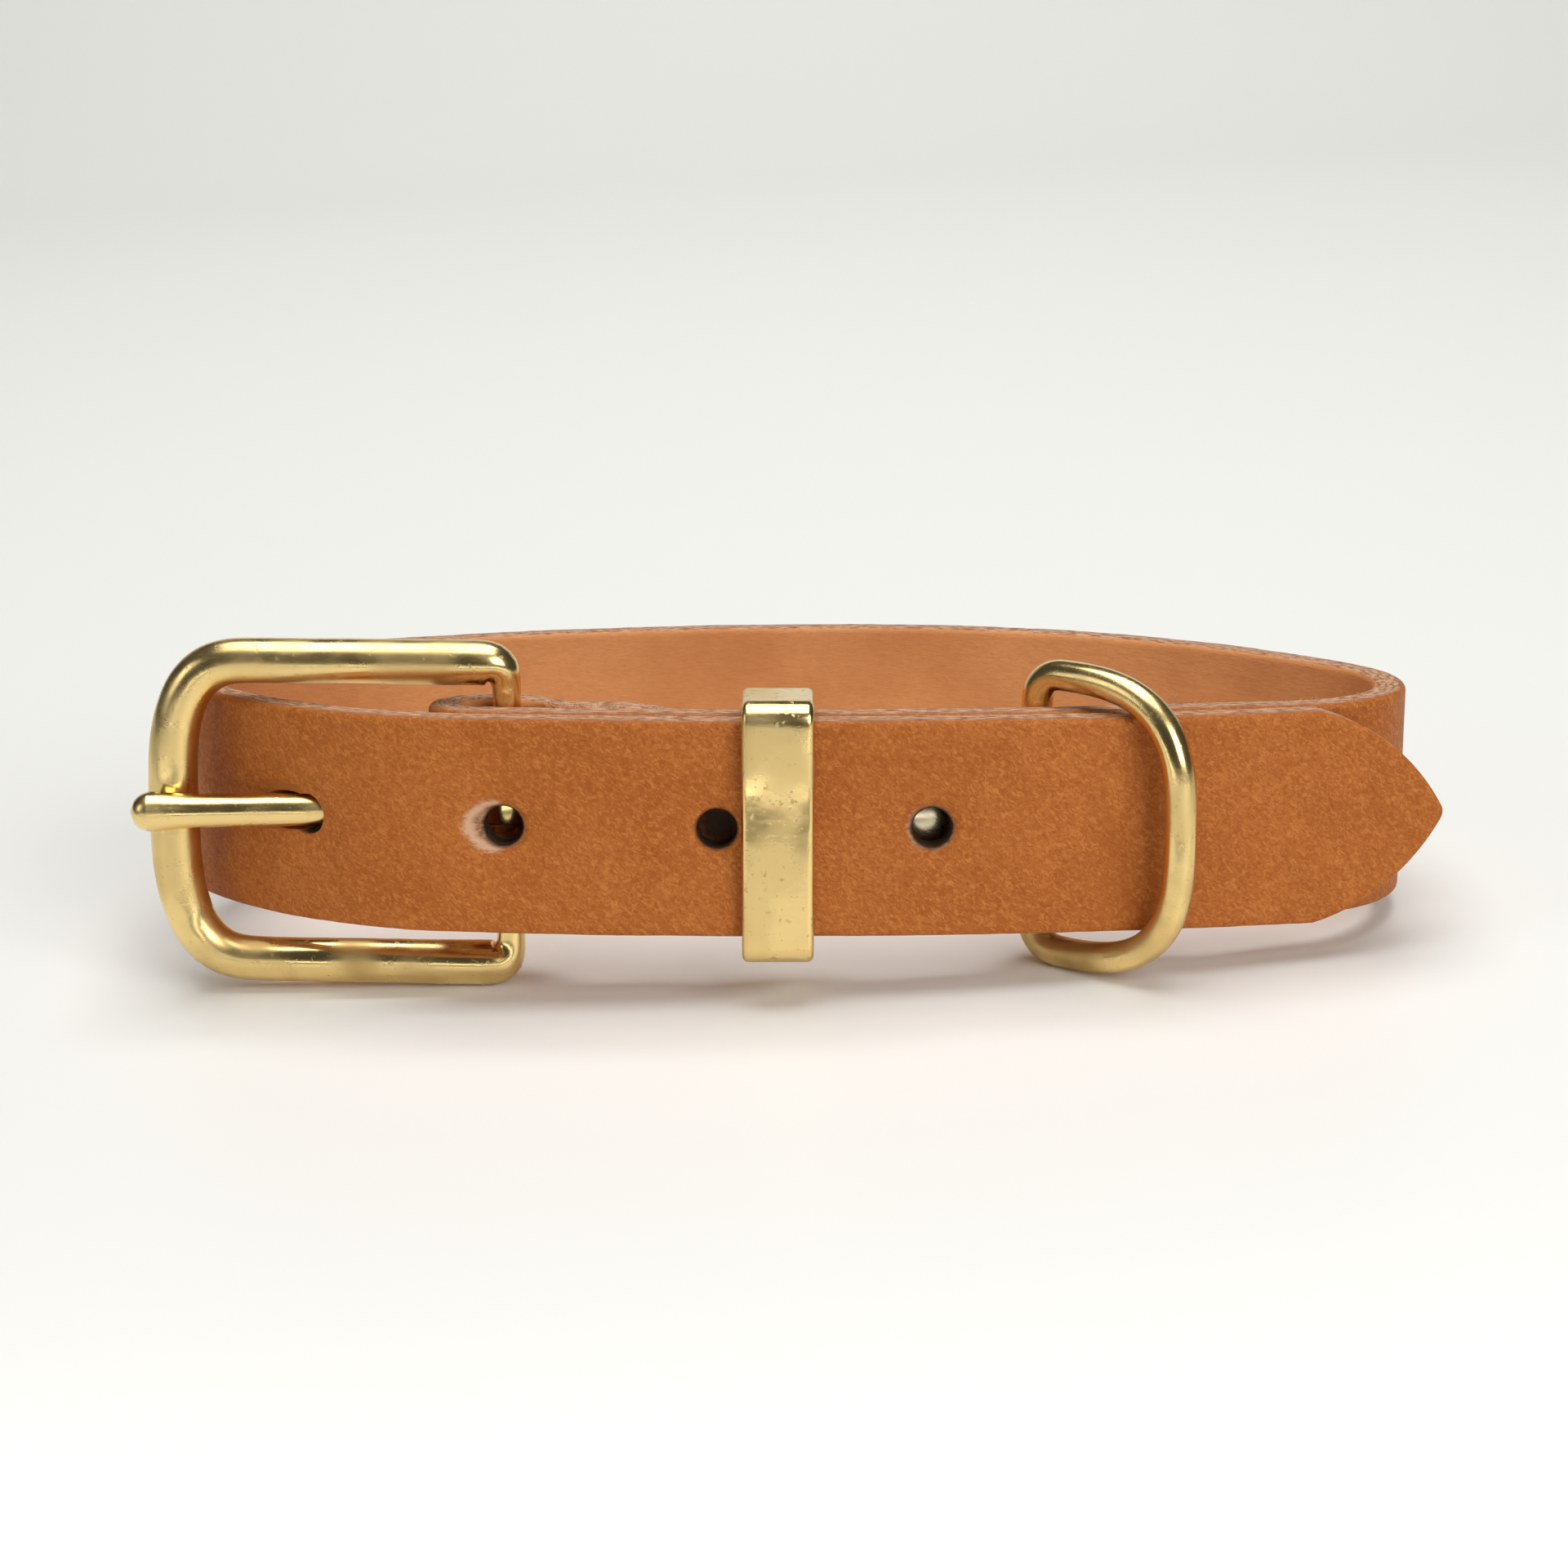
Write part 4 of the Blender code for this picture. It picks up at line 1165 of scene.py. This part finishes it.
class COLLAR_OT_keeper(bpy.types.Operator):
    """Bend the keeper's flat band"""

    bl_idname = "collar.make_keeper"
    bl_label = "Make Keeper"

    def execute(self, context):
        settings = context.scene.collar_brass
        rows = resampled(keeper_route(), 0.0003, True)
        section = band_section(KEEPER_WALL / 2, KEEPER_WIDTH / 2, KEEPER_RIM, 5)
        bm = tube(rows, section, True)
        bmesh.ops.rotate(bm, verts=bm.verts, matrix=Matrix.Rotation(math.pi / 2, 3, "Z"))
        self.crown(bm)
        uneven(bm, 0.5 * settings.unevenness, 240.0, 5.0)
        material = brass("keeper_brass", settings.colour, settings, settings.polish, 1.0, 0.3, 0.22)
        inner_depth = 2 * STRAP_THICKNESS + LAYER_GAP + 2 * CLEARANCE
        heading = leg_point(KEEPER_AT, 0.0)[1]
        middle = STRAP_THICKNESS - (inner_depth / 2 - CLEARANCE)
        place = in_fold(KEEPER_AT, middle, -KEEPER_DROP, -heading)
        obj = finished(bm, "keeper_band", material, place)
        as_piece(obj, "keeper", "collar")
        return {"FINISHED"}

    def crown(self, bm):
        """Swell the outer face, which the casting has a little proud in the middle."""
        tall = max(vert.co.z for vert in bm.verts)
        middle = min(vert.co.y for vert in bm.verts) + KEEPER_WALL / 2
        for vert in bm.verts:
            if vert.co.y < middle:
                vert.co.y -= 0.00042 * (1 - (vert.co.z / tall) ** 2)


class COLLAR_OT_ring(bpy.types.Operator):
    """Bend the D-ring's wire"""

    bl_idname = "collar.make_ring"
    bl_label = "Make D-Ring"

    def execute(self, context):
        settings = context.scene.collar_brass
        rows = relaxed(resampled(ring_route(), 0.0004, True), 3, True)
        bm = tube(rows, round_section(36), True)
        uneven(bm, 0.5 * settings.unevenness, 200.0, 11.0)
        material = brass("ring_brass", settings.colour, settings, settings.polish, 0.5, 0.9, 0.16)
        depth = STRAP_THICKNESS + CLEARANCE + RING_WIRE / 2
        obj = finished(bm, "ring_wire", material, in_fold(RING_AT, depth, -RING_DROP, -RING_SWING))
        as_piece(obj, "d_ring", "ring")
        return {"FINISHED"}


class COLLAR_OT_rivets(bpy.types.Operator):
    """Turn the three rivets of the fold"""

    bl_idname = "collar.make_rivets"
    bl_label = "Make Rivets"

    def execute(self, context):
        settings = context.scene.collar_brass
        material = brass("rivet_brass", settings.rivet, settings, settings.polish, 0.2, 0.2, 0.1)
        for name, distance in RIVETS:
            heading = leg_point(distance, 0.0)[1]
            place = in_fold(distance, 0.0, 0.0, -heading)
            obj = finished(turned(rivet_profile(distance), 48), f"{name}_domed", material, place)
            as_piece(obj, name, "collar")
        return {"FINISHED"}


class COLLAR_OT_fibres(bpy.types.Operator):
    """Pull loose fibres out of the strap's raw edges"""

    bl_idname = "collar.make_fibres"
    bl_label = "Make Loose Fibres"

    def execute(self, context):
        settings = context.scene.collar_leather
        dice = random.Random(4)
        curve = bpy.data.curves.new("edge_fibres", "CURVE")
        curve.dimensions = "3D"
        curve.bevel_depth = 1.0
        curve.bevel_resolution = 0
        for leg, first, last, share, count, length, curl in FIBRE_TUFTS:
            for _ in range(round(count * settings.fuzz)):
                self.add_fibre(curve, dice, leg, dice.uniform(first, last), share, length, curl)
        obj = bpy.data.objects.new("edge_fibres", curve)
        context.scene.collection.objects.link(obj)
        curve.materials.append(fibre_leather(settings))
        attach(obj, "collar")
        return {"FINISHED"}

    def add_fibre(self, curve, dice, leg, distance, share, length, curl):
        flats = {
            "free": distance,
            "under": UNDER_HEEL - distance,
            "turned": FOLD_END + FOLD_SLACK + distance,
        }
        depth = STRAP_THICKNESS * min(1.0, max(0.0, dice.gauss(share, 0.12)))
        plan = bent(flats[leg], depth)
        height = STRAP_WIDTH / 2
        if leg == "turned" and distance > RIVETS[0][1]:
            height += (TURNED_WIDTH - STRAP_WIDTH) / 2 * skive(distance)
        place = Vector((plan.x, plan.y, height - 0.0003))
        heading = Vector((dice.uniform(-1, 1), dice.uniform(-0.6, 0.6), dice.uniform(0.4, 1.2)))
        heading.normalize()
        size = length * dice.uniform(0.4, 1.3)
        steps = 6
        radius = dice.uniform(0.000030, 0.000055)
        spline = curve.splines.new("POLY")
        spline.points.add(steps)
        for k in range(steps + 1):
            at = BAND @ place
            spline.points[k].co = (*at, 1.0)
            spline.points[k].radius = radius * (1 - 0.7 * k / steps)
            bend = Vector((dice.gauss(0, 1), dice.gauss(0, 1), dice.gauss(-0.25, 0.7)))
            heading = (heading + 0.45 * curl * bend).normalized()
            place = place + heading * size / steps


class COLLAR_OT_studio(bpy.types.Operator):
    """Lay the floor, hang the lights and set the camera"""

    bl_idname = "collar.make_studio"
    bl_label = "Make Studio"

    def execute(self, context):
        settings = context.scene.collar_studio
        self.lay_floor(settings)
        self.stand_flag()
        world = bpy.data.worlds.new("studio_air")
        world.use_nodes = True
        background = world.node_tree.nodes["Background"]
        background.inputs["Color"].default_value = (0.95, 0.96, 0.92, 1.0)
        background.inputs["Strength"].default_value = 0.06
        context.scene.world = world
        context.scene.view_settings.view_transform = "Standard"
        # name, place, aimed at, size, watts
        for name, place, aim, size, watts in (
            ("overhead_softbox", (0.0, -0.05, 0.90), (0.0, 0.0, 0.0), (0.70, 0.60), 5.0),
            ("front_softbox", (0.42, -0.60, 0.43), (0.0, 0.0, 0.02), (0.46, 0.46), 3.4),
            ("low_strip", (0.02, -0.13, 0.0188), (0.02, 0.0, 0.0188), (0.60, 0.006), 0.05),
            ("left_fill", (-0.75, -0.30, 0.40), (0.0, 0.0, 0.01), (0.30, 0.40), 0.7),
            ("backdrop_wash", (0.0, 0.40, 1.00), (0.0, 0.95, 0.1), (0.80, 0.30), 4.6),
        ):
            self.hang_light(name, Vector(place), Vector(aim), size, watts)
        self.set_camera(settings)
        return {"FINISHED"}

    def lay_floor(self, settings):
        bm = bmesh.new()
        bmesh.ops.create_grid(bm, x_segments=1, y_segments=1, size=1.0)
        back = [e for e in bm.edges if min(v.co.y for v in e.verts) > 0.9]
        wall = bmesh.ops.extrude_edge_only(bm, edges=back)["geom"]
        raised = [v for v in wall if isinstance(v, bmesh.types.BMVert)]
        bmesh.ops.translate(bm, verts=raised, vec=(0.0, 0.0, 0.5))
        bmesh.ops.bevel(
            bm, geom=back, offset=0.4, segments=24, profile=0.5, affect="EDGES", material=-1
        )
        floor = finished(bm, "studio_floor", floor_finish(settings), Matrix.Identity(4), 60)
        if floor.data.polygons[0].normal.z < 0:
            floor.data.flip_normals()

    def stand_flag(self):
        """Stand a low dark flag in front, which only the polished metal mirrors."""
        bm = bmesh.new()
        bmesh.ops.create_grid(bm, x_segments=1, y_segments=1, size=0.5)
        place = Matrix.Translation((0.0, -0.135, 0.030)) @ Matrix.Rotation(math.pi / 2, 4, "X")
        flag = finished(bm, "dark_flag", flag_finish(), place @ Matrix.Diagonal((0.8, 0.06, 1.0, 1.0)))
        flag.visible_camera = False
        flag.visible_diffuse = False
        flag.visible_shadow = False

    def hang_light(self, name, place, aim, size, watts):
        light = bpy.data.lights.new(name, "AREA")
        light.shape = "RECTANGLE"
        light.size, light.size_y = size
        light.energy = watts
        obj = bpy.data.objects.new(name, light)
        obj.location = place
        obj.visible_camera = False
        obj.rotation_euler = (aim - place).to_track_quat("-Z", "Y").to_euler()
        bpy.context.scene.collection.objects.link(obj)

    def set_camera(self, settings):
        camera = bpy.data.cameras.new("photo_camera")
        camera.lens = settings.lens
        camera.sensor_width = 36.0
        camera.clip_start = 0.01
        obj = bpy.data.objects.new("photo_camera", camera)
        bpy.context.scene.collection.objects.link(obj)
        look = Matrix.Rotation(math.pi / 2 - settings.pitch, 4, "X")
        obj.matrix_world = BAND @ Matrix.Translation((0.0012, -0.25747, 0.0609)) @ look
        bpy.context.scene.camera = obj


class COLLAR_PT_pieces(bpy.types.Panel):
    """Pieces of the collar, in the order they are made"""

    bl_idname = "COLLAR_PT_pieces"
    bl_label = "Leather Pet Collar"
    bl_space_type = "VIEW_3D"
    bl_region_type = "UI"
    bl_category = "Collar"

    def draw(self, context):
        for group in (context.scene.collar_leather, context.scene.collar_brass):
            box = self.layout.box()
            for name in group.__annotations__:
                box.prop(group, name)
        for operator in OPERATORS:
            self.layout.operator(operator.bl_idname)


SETTINGS = (
    ("collar_leather", LeatherSettings),
    ("collar_brass", BrassSettings),
    ("collar_studio", StudioSettings),
)
OPERATORS = (
    COLLAR_OT_strap,
    COLLAR_OT_buckle,
    COLLAR_OT_tongue,
    COLLAR_OT_keeper,
    COLLAR_OT_ring,
    COLLAR_OT_rivets,
    COLLAR_OT_fibres,
    COLLAR_OT_studio,
)


def register():
    for name, group in SETTINGS:
        bpy.utils.register_class(group)
        setattr(bpy.types.Scene, name, bpy.props.PointerProperty(type=group))
    for operator in OPERATORS:
        bpy.utils.register_class(operator)
    bpy.utils.register_class(COLLAR_PT_pieces)


def unregister():
    bpy.utils.unregister_class(COLLAR_PT_pieces)
    for operator in reversed(OPERATORS):
        bpy.utils.unregister_class(operator)
    for name, group in reversed(SETTINGS):
        delattr(bpy.types.Scene, name)
        bpy.utils.unregister_class(group)


def main():
    register()
    bpy.ops.collar.make_strap()
    bpy.ops.collar.make_buckle()
    bpy.ops.collar.make_tongue()
    bpy.ops.collar.make_keeper()
    bpy.ops.collar.make_ring()
    bpy.ops.collar.make_rivets()
    bpy.ops.collar.make_fibres()
    bpy.ops.collar.make_studio()


if __name__ == "__main__":
    main()
